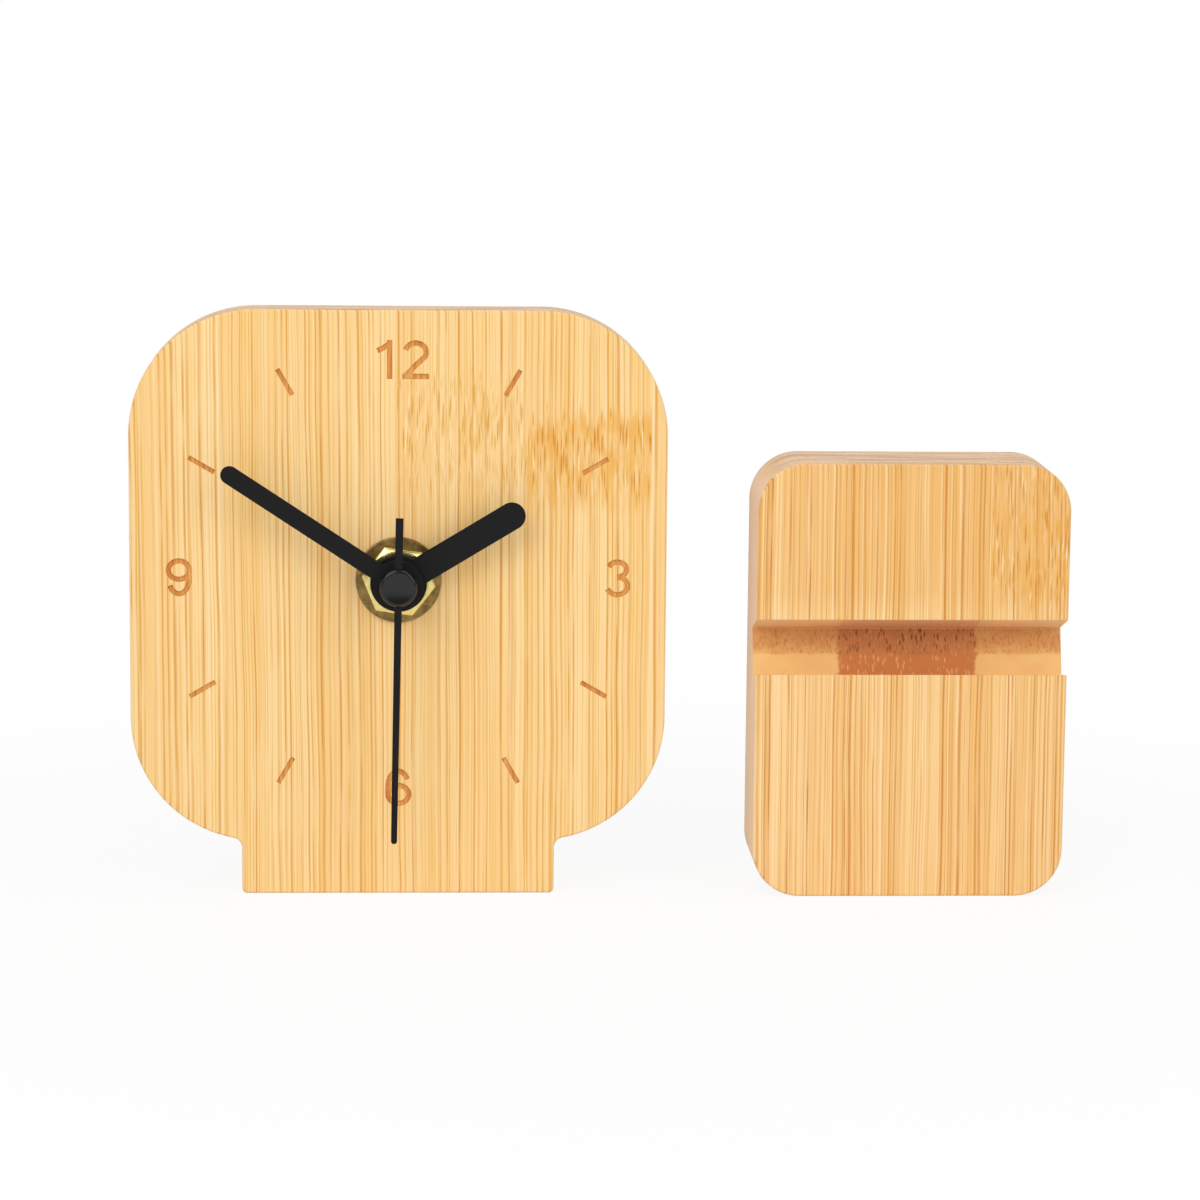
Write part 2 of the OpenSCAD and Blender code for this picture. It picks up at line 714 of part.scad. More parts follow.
// The step motor: bobbin, winding, core, stator and rotor
module coil_bobbin() {
    half = coil_flange / 2;
    hole = [coil_len + 2 * overrun, core_t + 2 * press_play, core_w + 2 * press_play];
    color("ivory") translate([coil_mid_x, coil_y, axis_z + coil_z]) difference() {
        union() {
            for (x = [-coil_len / 2, coil_len / 2 - coil_flange_t])
                translate([x, -half, -half]) cube([coil_flange_t, coil_flange, coil_flange]);
            rotate([0, 90, 0]) cylinder(d = core_w + 2 * coil_flange_t, h = coil_len, center = true);
        }
        cube(hole, center = true);
    }
}
module coil_winding() {
    bore_d = core_w + 2 * coil_flange_t + 2 * press_play;
    color("chocolate") translate([coil_mid_x, coil_y, axis_z + coil_z]) rotate([0, 90, 0])
        difference() {
            cylinder(d = coil_d, h = coil_len - 2 * coil_flange_t, center = true);
            cylinder(d = bore_d, h = coil_len, center = true);
        }
}
module coil_core() {
    color("slategray") layer(core_y, core_y + core_t)
        block(arm_x[0] - core_reach, arm_x[1] + core_reach, coil_z - core_w / 2, coil_z + core_w / 2);
}
module stator() {
    color("lightslategray") layer(stator_y, stator_y + stator_t) difference() {
        union() {
            block(arm_x[0] - stator_arm_w / 2, arm_x[1] + stator_arm_w / 2,
                rotor_at[1] - stator_bar_h / 2, rotor_at[1] + stator_bar_h / 2);
            for (x = arm_x)
                block(x - stator_arm_w / 2, x + stator_arm_w / 2, rotor_at[1], coil_z + core_w / 2);
        }
        disc(stator_hole_d, rotor_at);
    }
}
module arbor(from_y, to_y, at = [0, 0], d = arbor_d) {
    layer(from_y, to_y) disc(d, at);
}
bridge_pivot_y = bridge_y + carrier_t * 0.8;
middle_pivot_y = middle_y + carrier_t * 0.2;
module rotor_magnet() {
    color("dimgray") layer(magnet_y, magnet_y + stator_t + 2 * layer_gap / 3) difference() {
        disc(magnet_d, rotor_at);
        disc(arbor_d + 2 * press_play, rotor_at);
    }
}
module rotor_pinion() {
    color("lightyellow") {
        arbor(middle_pivot_y, bridge_pivot_y, rotor_at);
        layer(intermediate_y - pinion_over, intermediate_y + wheel_t + pinion_over)
            toothed(rotor_teeth, rotor_module, 0, rotor_at);
    }
}

// The train's wheels, each moulded with its pinion and arbor
module intermediate_wheel() {
    color("khaki") {
        arbor(middle_pivot_y, bridge_pivot_y, intermediate_at);
        layer(second_wheel_y - pinion_over, intermediate_y)
            toothed(intermediate_pinion_teeth, fine_module, 0, intermediate_at);
        layer(intermediate_y, intermediate_y + wheel_t)
            toothed(intermediate_teeth, rotor_module, intermediate_turn, intermediate_at);
    }
}
module second_wheel() {
    color("palegoldenrod") difference() {
        union() {
            layer(third_wheel_y - pinion_over, second_wheel_y)
                toothed(second_pinion_teeth, third_module, 0);
            layer(second_wheel_y, second_wheel_y + wheel_t)
                toothed(second_teeth, fine_module, second_turn);
            arbor(second_wheel_y, second_wheel_y + wheel_t + layer_gap / 2, [0, 0], 2 * arbor_d);
        }
        arbor(third_wheel_y - overrun, bridge_y, [0, 0], arbor_d + 2 * press_play);
    }
}
module second_arbor() {
    color("silver") arbor(second_back_y + press_play, bridge_pivot_y, [0, 0]);
}
module third_wheel() {
    color("beige") {
        arbor(hour_wheel_y + 2 * layer_gap, bridge_pivot_y, third_at);
        layer(minute_wheel_y - pinion_over, minute_wheel_y + wheel_t + pinion_over)
            toothed(third_pinion_teeth, centre_module, 0, third_at);
        layer(third_wheel_y, third_wheel_y + wheel_t)
            toothed(third_teeth, third_module, third_turn, third_at);
    }
}

// The minute wheel slips on the cannon pinion's tail, held by a bowed clutch washer
tail_d = 2.6;
lip_d = 3;
module minute_wheel() {
    color("wheat") layer(minute_wheel_y, minute_wheel_y + wheel_t) difference() {
        toothed(minute_teeth, centre_module, minute_turn);
        disc(tail_d + 2 * bearing_play);
    }
}
module clutch_spring() {
    spring_d = 2.4 * tail_d;
    hole_r = tail_d / 2 + press_play;
    rise = layer_gap - press_play;
    color("gainsboro") translate([0, cannon_end_y, axis_z]) rotate([-90, 0, 0]) difference() {
        rotate_extrude() polygon([[hole_r, 0], [spring_d / 2, rise], [spring_d / 2, rise + clutch_t],
            [hole_r, clutch_t]]);
        for (a = [0 : 120 : 240])
            rotate(a) translate([tail_d, -tail_d / 6, -overrun]) cube([tail_d, tail_d / 3, tail_d]);
    }
}
module cannon_pinion() {
    color("ivory") difference() {
        union() {
            arbor(minute_y - tube_proud, cannon_end_y, [0, 0], minute_tube_d);
            layer(motion_wheel_y - pinion_over, cannon_end_y) toothed(cannon_teeth, cannon_module, 0);
            arbor(cannon_end_y, cannon_tail_y, [0, 0], tail_d);
            arbor(minute_wheel_y + wheel_t + layer_gap / 3, cannon_tail_y, [0, 0], lip_d);
        }
        arbor(minute_y - tube_proud - overrun, cannon_tail_y + overrun, [0, 0], minute_bore_d);
    }
}
module motion_wheel() {
    color("linen") difference() {
        union() {
            layer(hour_wheel_y, motion_wheel_y)
                toothed(motion_pinion_teeth, hour_module, 0, motion_at);
            layer(motion_wheel_y, motion_wheel_y + wheel_t)
                toothed(motion_teeth, cannon_module, motion_turn, motion_at);
        }
        arbor(floor_y, cannon_end_y, motion_at, post_d + 2 * bearing_play);
    }
}
module hour_wheel() {
    color("oldlace") difference() {
        union() {
            layer(hour_wheel_y, hour_wheel_y + hour_wheel_t) toothed(hour_teeth, hour_module, hour_turn);
            arbor(hour_y - tube_proud, hour_wheel_y, [0, 0], hour_tube_d);
        }
        arbor(hour_y - tube_proud - overrun, hour_wheel_y + hour_wheel_t + overrun, [0, 0],
            hour_tube_bore_d);
    }
}
module setting_pinion() {
    color("honeydew") {
        arbor(floor_y + layer_gap, knob_y + knob_t / 2, setting_at, setting_shaft_d);
        layer(motion_wheel_y - pinion_over, cannon_end_y)
            toothed(setting_teeth, cannon_module, setting_turn, setting_at);
    }
}
module setting_knob() {
    rib_d = knob_d / 12;
    color("gray") difference() {
        layer(knob_y, knob_y + knob_t) {
            disc(knob_d - rib_d, setting_at);
            for (i = [0 : knob_ribs - 1])
                disc(rib_d, setting_at + polar((knob_d - rib_d) / 2, 360 * i / knob_ribs));
        }
        layer(knob_y - overrun, knob_y + knob_t / 2) disc(setting_shaft_d + 2 * press_play, setting_at);
    }
}

// The hands: stamped sheet, painted black, pressed on their tubes
module hand(len, w, disc_d, angle) {
    rotate(-angle) {
        disc(disc_d);
        block(-w / 2, w / 2, 0, len - w / 2);
        disc(w, [0, len - w / 2]);
    }
}
module hour_hand() {
    color([0.08, 0.08, 0.08]) difference() {
        union() {
            layer(hour_y, hour_back_y) hand(hour_hand_len, hour_hand_w, hour_disc_d, hour_angle);
            layer(hour_back_y, hour_back_y + collar_len) disc(hour_collar_d);
        }
        layer(hour_y - overrun, hour_back_y + collar_len + overrun)
            disc(hour_tube_d + 2 * press_play);
    }
}
module minute_hand() {
    color([0.08, 0.08, 0.08]) difference() {
        union() {
            layer(minute_y, minute_back_y)
                hand(minute_hand_len, minute_hand_w, minute_disc_d, minute_angle);
            layer(minute_back_y, minute_back_y + collar_len) disc(minute_collar_d);
        }
        layer(minute_y - overrun, minute_back_y + collar_len + overrun)
            disc(minute_tube_d + 2 * press_play);
    }
}
module second_outline(play) {
    tip_z = second_hand_len - second_hand_w / 2;
    w = second_hand_w + 2 * play;
    rotate(-second_angle) {
        block(-w / 2, w / 2, -second_tail_len, tip_z);
        disc(w, [0, tip_z]);
        disc(2 * second_hand_w + w);
    }
}
module second_hand() {
    color([0.08, 0.08, 0.08]) layer(second_y, second_back_y) second_outline(0);
}
module second_hand_collar() {
    color("goldenrod") layer(second_back_y, second_collar_y) difference() {
        disc(second_collar_d);
        disc(arbor_d + 2 * press_play);
    }
}
module second_hand_cap() {
    edge = cap_d / 14;
    rim = [for (a = [0 : 15 : 90]) [cap_d / 2, cap_t] + edge * [cos(a) - 1, sin(a) - 1]];
    color([0.1, 0.1, 0.1]) difference() {
        translate([0, cap_back_y, axis_z]) rotate([90, 0, 0])
            rotate_extrude() polygon(concat([[0, 0], [cap_d / 2, 0]], rim, [[0, cap_t]]));
        layer(second_y - press_play, cap_back_y + overrun) second_outline(press_play);
        layer(second_back_y, cap_back_y + overrun) disc(second_collar_d + 2 * press_play);
    }
}

dial_plate();
base_block();
washer();
hex_nut();
threaded_bushing();
rubber_gasket();
front_case();
rear_case();
middle_plate();
gear_bridge();
battery();
positive_contact();
negative_contact();
circuit_board();
quartz_crystal();
driver_chip();
coil_bobbin();
coil_winding();
coil_core();
stator();
rotor_magnet();
rotor_pinion();
intermediate_wheel();
second_wheel();
second_arbor();
third_wheel();
minute_wheel();
clutch_spring();
cannon_pinion();
motion_wheel();
hour_wheel();
setting_pinion();
setting_knob();
hour_hand();
minute_hand();
second_hand();
second_hand_collar();
second_hand_cap();
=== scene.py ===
import math

import bmesh
import bpy
from mathutils import Matrix, Vector


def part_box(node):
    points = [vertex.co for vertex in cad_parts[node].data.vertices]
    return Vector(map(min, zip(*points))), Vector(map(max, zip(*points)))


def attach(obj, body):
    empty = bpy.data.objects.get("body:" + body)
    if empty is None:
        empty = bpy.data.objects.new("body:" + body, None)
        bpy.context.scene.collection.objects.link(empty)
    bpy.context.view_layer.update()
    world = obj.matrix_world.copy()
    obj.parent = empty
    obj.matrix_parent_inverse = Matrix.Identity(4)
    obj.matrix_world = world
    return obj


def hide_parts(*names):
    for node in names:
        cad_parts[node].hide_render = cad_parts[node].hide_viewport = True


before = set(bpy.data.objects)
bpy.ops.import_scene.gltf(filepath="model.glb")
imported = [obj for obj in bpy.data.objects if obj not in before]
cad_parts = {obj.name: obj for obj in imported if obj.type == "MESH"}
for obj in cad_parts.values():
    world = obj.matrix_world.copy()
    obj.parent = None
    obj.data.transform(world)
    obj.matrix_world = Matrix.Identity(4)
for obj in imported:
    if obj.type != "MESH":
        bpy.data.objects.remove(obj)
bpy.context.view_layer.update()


# The studio: the two pieces stand on a white board in front of a white sweep, lit by
# two wide softboxes in front and one above, so that shadows are faint and the bamboo
# keeps its own colour.
def shade(red, green, blue):
    """A colour picked as eight-bit values, as the linear colour that a socket takes."""
    def linear(value):
        value = value / 255
        return value / 12.92 if value <= 0.04045 else ((value + 0.055) / 1.055) ** 2.4
    return (linear(red), linear(green), linear(blue), 1.0)


class Link:
    """An output socket. Written into a sum, it adds the Math node for that sum."""

    def __init__(self, finish, socket):
        self.finish, self.socket = finish, socket

    def sum(self, operation, first, second):
        return self.finish.node("ShaderNodeMath", {"operation": operation}, {0: first, 1: second})

    def __add__(self, other): return self.sum("ADD", self, other)
    def __radd__(self, other): return self.sum("ADD", other, self)
    def __sub__(self, other): return self.sum("SUBTRACT", self, other)
    def __rsub__(self, other): return self.sum("SUBTRACT", other, self)
    def __mul__(self, other): return self.sum("MULTIPLY", self, other)
    def __rmul__(self, other): return self.sum("MULTIPLY", other, self)
    def __truediv__(self, other): return self.sum("DIVIDE", self, other)
    def __gt__(self, other): return self.sum("GREATER_THAN", self, other)
    def __abs__(self): return self.sum("ABSOLUTE", self, 0.0)


class Finish:
    """A material, or the world, and the nodes that make it."""

    def __init__(self, name, world=None):
        self.made = world or bpy.data.materials.new(name)
        self.made.use_nodes = True
        self.tree = self.made.node_tree

    def node(self, kind, settings=None, inputs=None, out=0):
        """A new node of a kind, with its settings and inputs. Gives one of its outputs."""
        new = self.tree.nodes.new(kind)
        for name, value in (settings or {}).items():
            if name == "stops":
                stops = new.color_ramp.elements
                stops.remove(stops[1])
                stops[0].position, stops[0].color = value[0]
                for place, colour in value[1:]:
                    stops.new(place).color = colour
            else:
                setattr(new, name, value)
        for name, value in (inputs or {}).items():
            if isinstance(value, Link):
                self.tree.links.new(value.socket, new.inputs[name])
            else:
                new.inputs[name].default_value = value
        return Link(self, new.outputs[out])

    def place(self):
        """The point on the piece in millimetres, as three numbers."""
        at = self.node("ShaderNodeTexCoord", out="Object")
        mm = self.node("ShaderNodeVectorMath", {"operation": "SCALE"}, {0: at, "Scale": 1000.0})
        return self.apart(mm)

    def apart(self, vector):
        """The three numbers of a vector."""
        return [self.node("ShaderNodeSeparateXYZ", None, {0: vector}, out) for out in range(3)]

    def point(self, x, y, z):
        return self.node("ShaderNodeCombineXYZ", None, {0: x, 1: y, 2: z})

    def noise(self, x, y, z, detail=2.0, roughness=0.5):
        return self.node("ShaderNodeTexNoise", None, {
            "Vector": self.point(x, y, z), "Scale": 1.0, "Detail": detail,
            "Roughness": roughness})

    def cells(self, inputs, settings=None):
        """A pattern of cells: the distance from the nearest cell's middle, and three
        random numbers of that cell."""
        off = self.node("ShaderNodeTexVoronoi", settings, {"Scale": 1.0, **inputs}, "Distance")
        return off, self.apart(Link(self, off.socket.node.outputs["Color"]))

    def fade(self, value, low, high, start=0.0, end=1.0):
        """A smooth rise from start to end while value goes from low to high."""
        return self.node("ShaderNodeMapRange", {"interpolation_type": "SMOOTHSTEP"}, {
            "Value": value, "From Min": low, "From Max": high, "To Min": start, "To Max": end})

    def mix(self, share, first, second):
        return self.node("ShaderNodeMix", {"data_type": "RGBA"},
                         {0: share, 6: first, 7: second}, 2)

    def coats(self, colour, *coats):
        """A colour with each coat, (share, colour), laid over it in turn."""
        for share, coat in coats:
            colour = self.mix(share, colour, coat)
        return colour

    def surface(self, colour, roughness, height=None, depth=0.0, **fixed):
        """Sets the Principled surface. depth is the relief in metres that height spans."""
        shader = self.tree.nodes["Principled BSDF"]
        wanted = {"Base Color": colour, "Roughness": roughness}
        if height is not None:
            wanted["Normal"] = self.node("ShaderNodeBump", None, {
                "Strength": 1.0, "Distance": depth, "Height": height})
        wanted.update({name.replace("_", " "): value for name, value in fixed.items()})
        for name, value in wanted.items():
            if isinstance(value, Link):
                self.tree.links.new(value.socket, shader.inputs[name])
            else:
                shader.inputs[name].default_value = value
        return self.made


def white_board():
    """White card. The camera sees it nine tenths pure white about the two pieces, which
    keeps a faint shadow under them, and all white further off."""
    card = Finish("white_board")
    x, y, z = card.place()
    made = card.surface(
        card.mix(card.noise(x * 0.02, y * 0.02, z), shade(244, 244, 243), shade(250, 250, 249)),
        card.noise(x * 0.1, y * 0.1, z) * 0.1 + 0.7)
    to_eye = card.node("ShaderNodeLightPath", out="Is Camera Ray")
    between, close, far = 37.0, 100.0, 260.0
    off = card.node("ShaderNodeMath", {"operation": "SQRT"},
                    {0: (x - between) * (x - between) + y * y})
    lit = Link(card, card.tree.nodes["Principled BSDF"].outputs[0])
    white = card.node("ShaderNodeEmission", None, {"Color": (1.0, 1.0, 1.0, 1.0), "Strength": 1.0})
    both = card.node("ShaderNodeMixShader", None, {
        0: to_eye * card.fade(off, close, far, 0.9, 1.0), 1: lit, 2: white})
    card.tree.links.new(both.socket, card.tree.nodes["Material Output"].inputs["Surface"])
    return made


bm = bmesh.new()
bmesh.ops.create_grid(bm, x_segments=1, y_segments=1, size=3.0)
floor_mesh = bpy.data.meshes.new("floor")
bm.to_mesh(floor_mesh)
bm.free()
floor = bpy.data.objects.new("floor", floor_mesh)
floor.data.materials.append(white_board())
bpy.context.scene.collection.objects.link(floor)

sweep = bpy.data.worlds.new("sweep")
bpy.context.scene.world = sweep
around = Finish("sweep", sweep)
to_eye, mirrored, through = [around.node("ShaderNodeLightPath", out=ray) for ray in
                             ("Is Camera Ray", "Is Glossy Ray", "Is Transmission Ray")]
backwards = around.apart(around.node("ShaderNodeNewGeometry", out="Position"))[1]
dark_front, bright_back, fill = 0.16, 1.0, 0.46
reflected = around.fade(backwards, -0.3, 0.5, dark_front, bright_back)
seen = around.node("ShaderNodeMath", {"operation": "MAXIMUM"}, {0: mirrored, 1: through})
strength = to_eye + (1.0 - to_eye) * (seen * reflected + (1.0 - seen) * fill)
background = around.tree.nodes["Background"]
background.inputs["Color"].default_value = (1.0, 1.0, 1.0, 1.0)
around.tree.links.new(strength.socket, background.inputs["Strength"])


def softbox(name, place, target, width, height, power):
    light = bpy.data.lights.new(name, "AREA")
    light.shape, light.size, light.size_y, light.energy = "RECTANGLE", width, height, power
    lamp = bpy.data.objects.new(name, light)
    lamp.location = place
    lamp.rotation_euler = (Vector(target) - Vector(place)).to_track_quat("-Z", "Y").to_euler()
    bpy.context.scene.collection.objects.link(lamp)


softbox("softbox_left", (-0.55, -0.85, 0.75), (0.03, 0.0, 0.05), 0.8, 0.8, 5.6)
softbox("softbox_right", (0.75, -0.75, 0.55), (0.03, 0.0, 0.05), 0.7, 0.8, 3.6)
softbox("softbox_above", (0.04, -0.05, 0.95), (0.04, 0.0, 0.05), 0.8, 0.6, 1.1)

camera_lens = bpy.data.cameras.new("camera")
focal_length, film_width = 119.82, 36.0
camera_lens.lens, camera_lens.sensor_width = focal_length, film_width
camera = bpy.data.objects.new("camera", camera_lens)
camera.location = (0.0026, -0.7415, 0.1728)
to_the_right, downwards, rolled = 2.72, 8.99, 0.55
camera.rotation_euler = (Matrix.Rotation(math.radians(-to_the_right), 3, "Z")
                         @ Matrix.Rotation(math.radians(90.0 - downwards), 3, "X")
                         @ Matrix.Rotation(math.radians(rolled), 3, "Z")).to_euler()
bpy.context.scene.collection.objects.link(camera)
bpy.context.scene.camera = camera
bpy.context.scene.view_settings.view_transform = "Standard"


# The clock plate: one board of pale bamboo glued up from strips 24 mm wide, sawn to a
# rounded square with a narrow foot, its edges eased by sanding, bored for the movement,
# and its dial burnt in lightly by a laser.
MM = 0.001


def corners(node):
    """A CAD node's lowest and highest corner in millimetres."""
    low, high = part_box(node)
    return low / MM, high / MM


def outline(bm, path, y, fineness):
    """A closed face in the plane at y. Each step of path runs straight to a point
    (x, z), or turns by some degrees, clockwise from the front, about a centre (x, z).
    fineness is the degrees that one edge of an arc spans."""
    first = last = bm.verts.new((path[0][0], y, path[0][1]))
    for step in path[1:]:
        if len(step) == 2:
            new = bm.verts.new((step[0], y, step[1]))
            bm.edges.new((last, new))
            last = new
        else:
            x, z, degrees = step
            spun = bmesh.ops.spin(bm, geom=[last], cent=(x, y, z), axis=(0, 1, 0),
                                  angle=math.radians(degrees),
                                  steps=max(2, round(abs(degrees) / fineness)))
            last = next(item for item in spun["geom_last"] if isinstance(item, bmesh.types.BMVert))
    if (last.co - first.co).length > 0.001:
        bm.edges.new((last, first))
    bmesh.ops.remove_doubles(bm, verts=bm.verts, dist=0.0005)
    return bmesh.ops.contextual_create(bm, geom=bm.edges)["faces"][0]


def thicken(bm, faces, thickness):
    """Makes flat faces solid, towards the back, or the front if thickness is negative."""
    grown = bmesh.ops.extrude_face_region(bm, geom=faces)["geom"]
    moved = [item for item in grown if isinstance(item, bmesh.types.BMVert)]
    bmesh.ops.translate(bm, verts=moved, vec=(0, thickness, 0))
    bmesh.ops.recalc_face_normals(bm, faces=bm.faces)


def board(path, front, back, fineness):
    """An outline made solid from its front plane to its back plane."""
    bm = bmesh.new()
    thicken(bm, [outline(bm, path, front, fineness)], back - front)
    return bm


def swing(bm, degrees, about, centre=(0, 0, 0)):
    """Turns all of bm about the X, Y or Z direction through a point."""
    bmesh.ops.rotate(bm, cent=centre, matrix=Matrix.Rotation(math.radians(degrees), 3, about),
                     verts=bm.verts)


def solid(node, merge):
    """A CAD node's shape in millimetres, points within merge of each other made one."""
    bm = bmesh.new()
    bm.from_mesh(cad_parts[node].data)
    bmesh.ops.scale(bm, vec=(1000.0, 1000.0, 1000.0), verts=bm.verts)
    bmesh.ops.remove_doubles(bm, verts=bm.verts, dist=merge)
    return bm


def rims(bm, *planes):
    """The edges that lie in planes of constant y."""
    return [edge for edge in bm.edges
            if any(all(abs(vert.co.y - y) < 0.001 for vert in edge.verts) for y in planes)
            and len(edge.link_faces) == 2 and edge.calc_face_angle(0) > 0.5]


def ease(bm, edges, width, segments=3):
    bmesh.ops.bevel(bm, geom=edges, offset=width, segments=segments, affect="EDGES",
                    profile=0.5, material=-1, clamp_overlap=True)


def carve(bm, tool, operation="DIFFERENCE"):
    """Cuts tool from bm, or leaves what the two share. tool is used up."""
    made = []
    for shape in (bm, tool):
        mesh = bpy.data.meshes.new("blank")
        shape.to_mesh(mesh)
        made.append(bpy.data.objects.new("blank", mesh))
        bpy.context.scene.collection.objects.link(made[-1])
    cut = made[0].modifiers.new("cut", "BOOLEAN")
    cut.object, cut.operation, cut.solver = made[1], operation, "EXACT"
    result = made[0].evaluated_get(bpy.context.evaluated_depsgraph_get()).to_mesh()
    bm.clear()
    bm.from_mesh(result)
    tool.free()
    for blank in made:
        bpy.data.objects.remove(blank)


def piece(name, bm, finishes, body, nodes, sharp=35.0):
    """Turns bm, in millimetres, into a finished piece that rides on a body and stands
    for CAD nodes. Edges bent by more than sharp degrees are shaded sharp."""
    bmesh.ops.scale(bm, vec=(MM, MM, MM), verts=bm.verts)
    mesh = bpy.data.meshes.new(name)
    bm.to_mesh(mesh)
    bm.free()
    for finish in finishes if isinstance(finishes, list) else [finishes]:
        mesh.materials.append(finish)
    mesh.shade_smooth()
    mesh.set_sharp_from_angle(angle=math.radians(sharp))
    made = bpy.data.objects.new(name, mesh)
    bpy.context.scene.collection.objects.link(made)
    even = made.modifiers.new("even", "WEIGHTED_NORMAL")
    even.keep_sharp, even.weight = True, 80
    finished = made.evaluated_get(bpy.context.evaluated_depsgraph_get())
    made.data = bpy.data.meshes.new_from_object(finished)
    made.data.name = name
    made.modifiers.clear()
    facing = made.data.attributes.new("facing", "FLOAT_VECTOR", "CORNER")
    facing.data.foreach_set("vector", [
        abs(share) for normal in made.data.corner_normals for share in normal.vector])
    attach(made, body)
    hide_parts(*nodes)


def bamboo(name, seams, plies, knuckles, colours, warm_from=200.0):
    """Bamboo as a solid. Its fibres run along Z, thin threads between stronger bundles
    and a few ribs, and show as dots on the ends. seams and plies are the glue lines' x
    and y, and knuckles the patches where the cane's joints cross a strip, with shorter
    fibres: (x from, x to, z from, z to, darkness). colours are those of the ground, of
    its yellower places, and of the threads, bundles and ribs. Above the height warm_from
    the cane is a little darker."""
    pale, glow, thread, bundle, rib = colours
    cane = Finish(name)
    x, y, z = cane.place()
    facing = cane.apart(
        cane.node("ShaderNodeAttribute", {"attribute_name": "facing"}, out="Vector"))
    strip = sum((x > seam for seam in seams[1:]), x > seams[0])
    ply = sum((y > line for line in plies[1:]), y > plies[0])
    seed = strip * 13.7 + ply * 29.3
    wave = cane.noise(x * 0.12, seed, z * 0.03, 1.0) * 0.8
    course = x + y * 0.83 + seed + z * 0.006 + wave
    bent = x + (cane.noise(x * 0.5, seed, z * 0.08, 1.0) - 0.5) * 0.6
    ragged = cane.noise(x * 0.7, seed, z * 0.02, 2.0, 0.7) - 0.5

    def fibres(pitch, width, share):
        """Straight fibres, one each pitch, up to width thick, of which a share is dark."""
        off, luck = cane.cells({"W": course / pitch, "Randomness": 0.85},
                               {"voronoi_dimensions": "1D"})
        edge = width / pitch * (luck[1] * 0.5 + 0.5)
        fading = cane.noise(course * 0.8 / pitch, seed + width, z * 0.06, 1.0)
        return (cane.fade(off / edge, 1.0, 0.3) * cane.fade(luck[0], 1.0 - share, 0.9)
                * cane.fade(fading, 0.30, 0.56, 0.35, 1.0))

    def strokes(pitch, length, width, share):
        """Short fibres that begin and end within length."""
        off, luck = cane.cells({"Vector": cane.point(bent / pitch, course * 0.1, z / length)})
        return (cane.fade(off, width, width * 0.45)
                * cane.fade(luck[0], 1.0 - share, 1.0 - share * 0.4))

    level = z + ragged * 14.0
    patches = [cane.fade(x, left - 0.2, left + 0.2) * cane.fade(x, right + 0.2, right - 0.2)
               * cane.fade(level, high + 1.5, high - 1.5) * cane.fade(level, low - 6.0, low + 4.0)
               for left, right, low, high, _ in knuckles]
    shares = [patch * knuckle[4] for patch, knuckle in zip(patches, knuckles)]
    knot = sum(patches[1:], patches[0])
    cloudy = cane.noise(x * 0.4, seed + 5.0, z * 0.16, 2.0)
    dark = sum(shares[1:], shares[0]) * cane.fade(cloudy, 0.34, 0.60, 0.25, 1.0)
    straight = 1.0 - knot * 0.4
    threads = fibres(pitch=0.58, width=0.19, share=1.0) * straight
    bundles = fibres(pitch=1.07, width=0.30, share=0.95) * straight
    ribs = fibres(pitch=3.6, width=0.30, share=1.0) * straight
    pales = fibres(pitch=0.83, width=0.30, share=0.8) * straight
    short = strokes(pitch=0.44, length=6.4, width=0.44, share=1.0) * knot
    fine = strokes(pitch=0.30, length=4.4, width=0.44, share=1.0) * knot
    lens = strokes(pitch=0.7, length=8.0, width=0.40, share=0.9) * knot
    broad = cane.noise(x * 0.22, seed, z * 0.008, 2.0)
    flecks = cane.noise(course * 4.0, y, z * 0.35, 2.0, 0.6)
    warm = cane.fade(z + ragged * 8.0, warm_from, warm_from + 6.0)
    flank = cane.coats(
        cane.mix(cane.fade(broad, 0.36, 0.66), pale, glow),
        (warm * 0.5, shade(236, 180, 100)),
        (dark * 0.95, shade(239, 174, 76)),
        (pales * 0.7 + lens * 0.7, shade(254, 226, 180)),
        (threads * 0.85 + flecks * 0.10 + fine * 0.75, thread),
        (bundles * 0.9 + short * 0.85, bundle),
        (ribs * 0.9, rib),
        (short * dark * 0.9, shade(208, 130, 42)))
    dots = cane.cells({"Vector": cane.point(x * 0.85, y * 1.1 + seed, z * 0.02)})[0]
    scorch = cane.noise(x * 0.05, y * 0.8 + seed, z * 0.02, 2.0)
    sawn = cane.coats(
        cane.mix(cane.fade(scorch, 0.40, 0.72), shade(242, 207, 170), shade(204, 156, 124)),
        (cane.fade(dots, 0.34, 0.16) * 0.7, shade(196, 144, 98)))
    # The end faces take the sawn colour. The side faces are painted paler: partly their sanded
    # surface, partly painted sheen of light grazing them.
    colour = cane.coats(
        flank,
        (cane.fade(facing[2], 0.6, 0.98) * 0.85, sawn),
        (cane.fade(facing[0], 0.5, 0.95) * 0.7, shade(254, 224, 192)))
    return cane.surface(colour, 0.50 + bundles * 0.08 + flecks * 0.06,
                        threads * -0.3 - bundles * 0.5 - short * 0.5, 0.000006,
                        Specular_IOR_Level=0.3)


def burnt():
    """Bamboo darkened by the laser, with the fibres still showing through."""
    char = Finish("burnt_bamboo")
    x, y, z = char.place()
    fibres = char.noise(x * 2.6, y, z * 0.15, 2.0, 0.6)
    specks = char.noise(x * 6.0, y, z * 6.0, 1.0)
    colour = char.node("ShaderNodeValToRGB", {"stops": [
        (0.32, shade(236, 176, 100)), (0.5, shade(224, 152, 76)), (0.68, shade(206, 128, 58))]},
        {0: fibres})
    return char.surface(char.mix(char.fade(specks, 0.55, 0.75) * 0.5, colour, shade(196, 118, 52)),
                        0.62 + specks * 0.1, specks, 0.00002, Specular_IOR_Level=0.25)


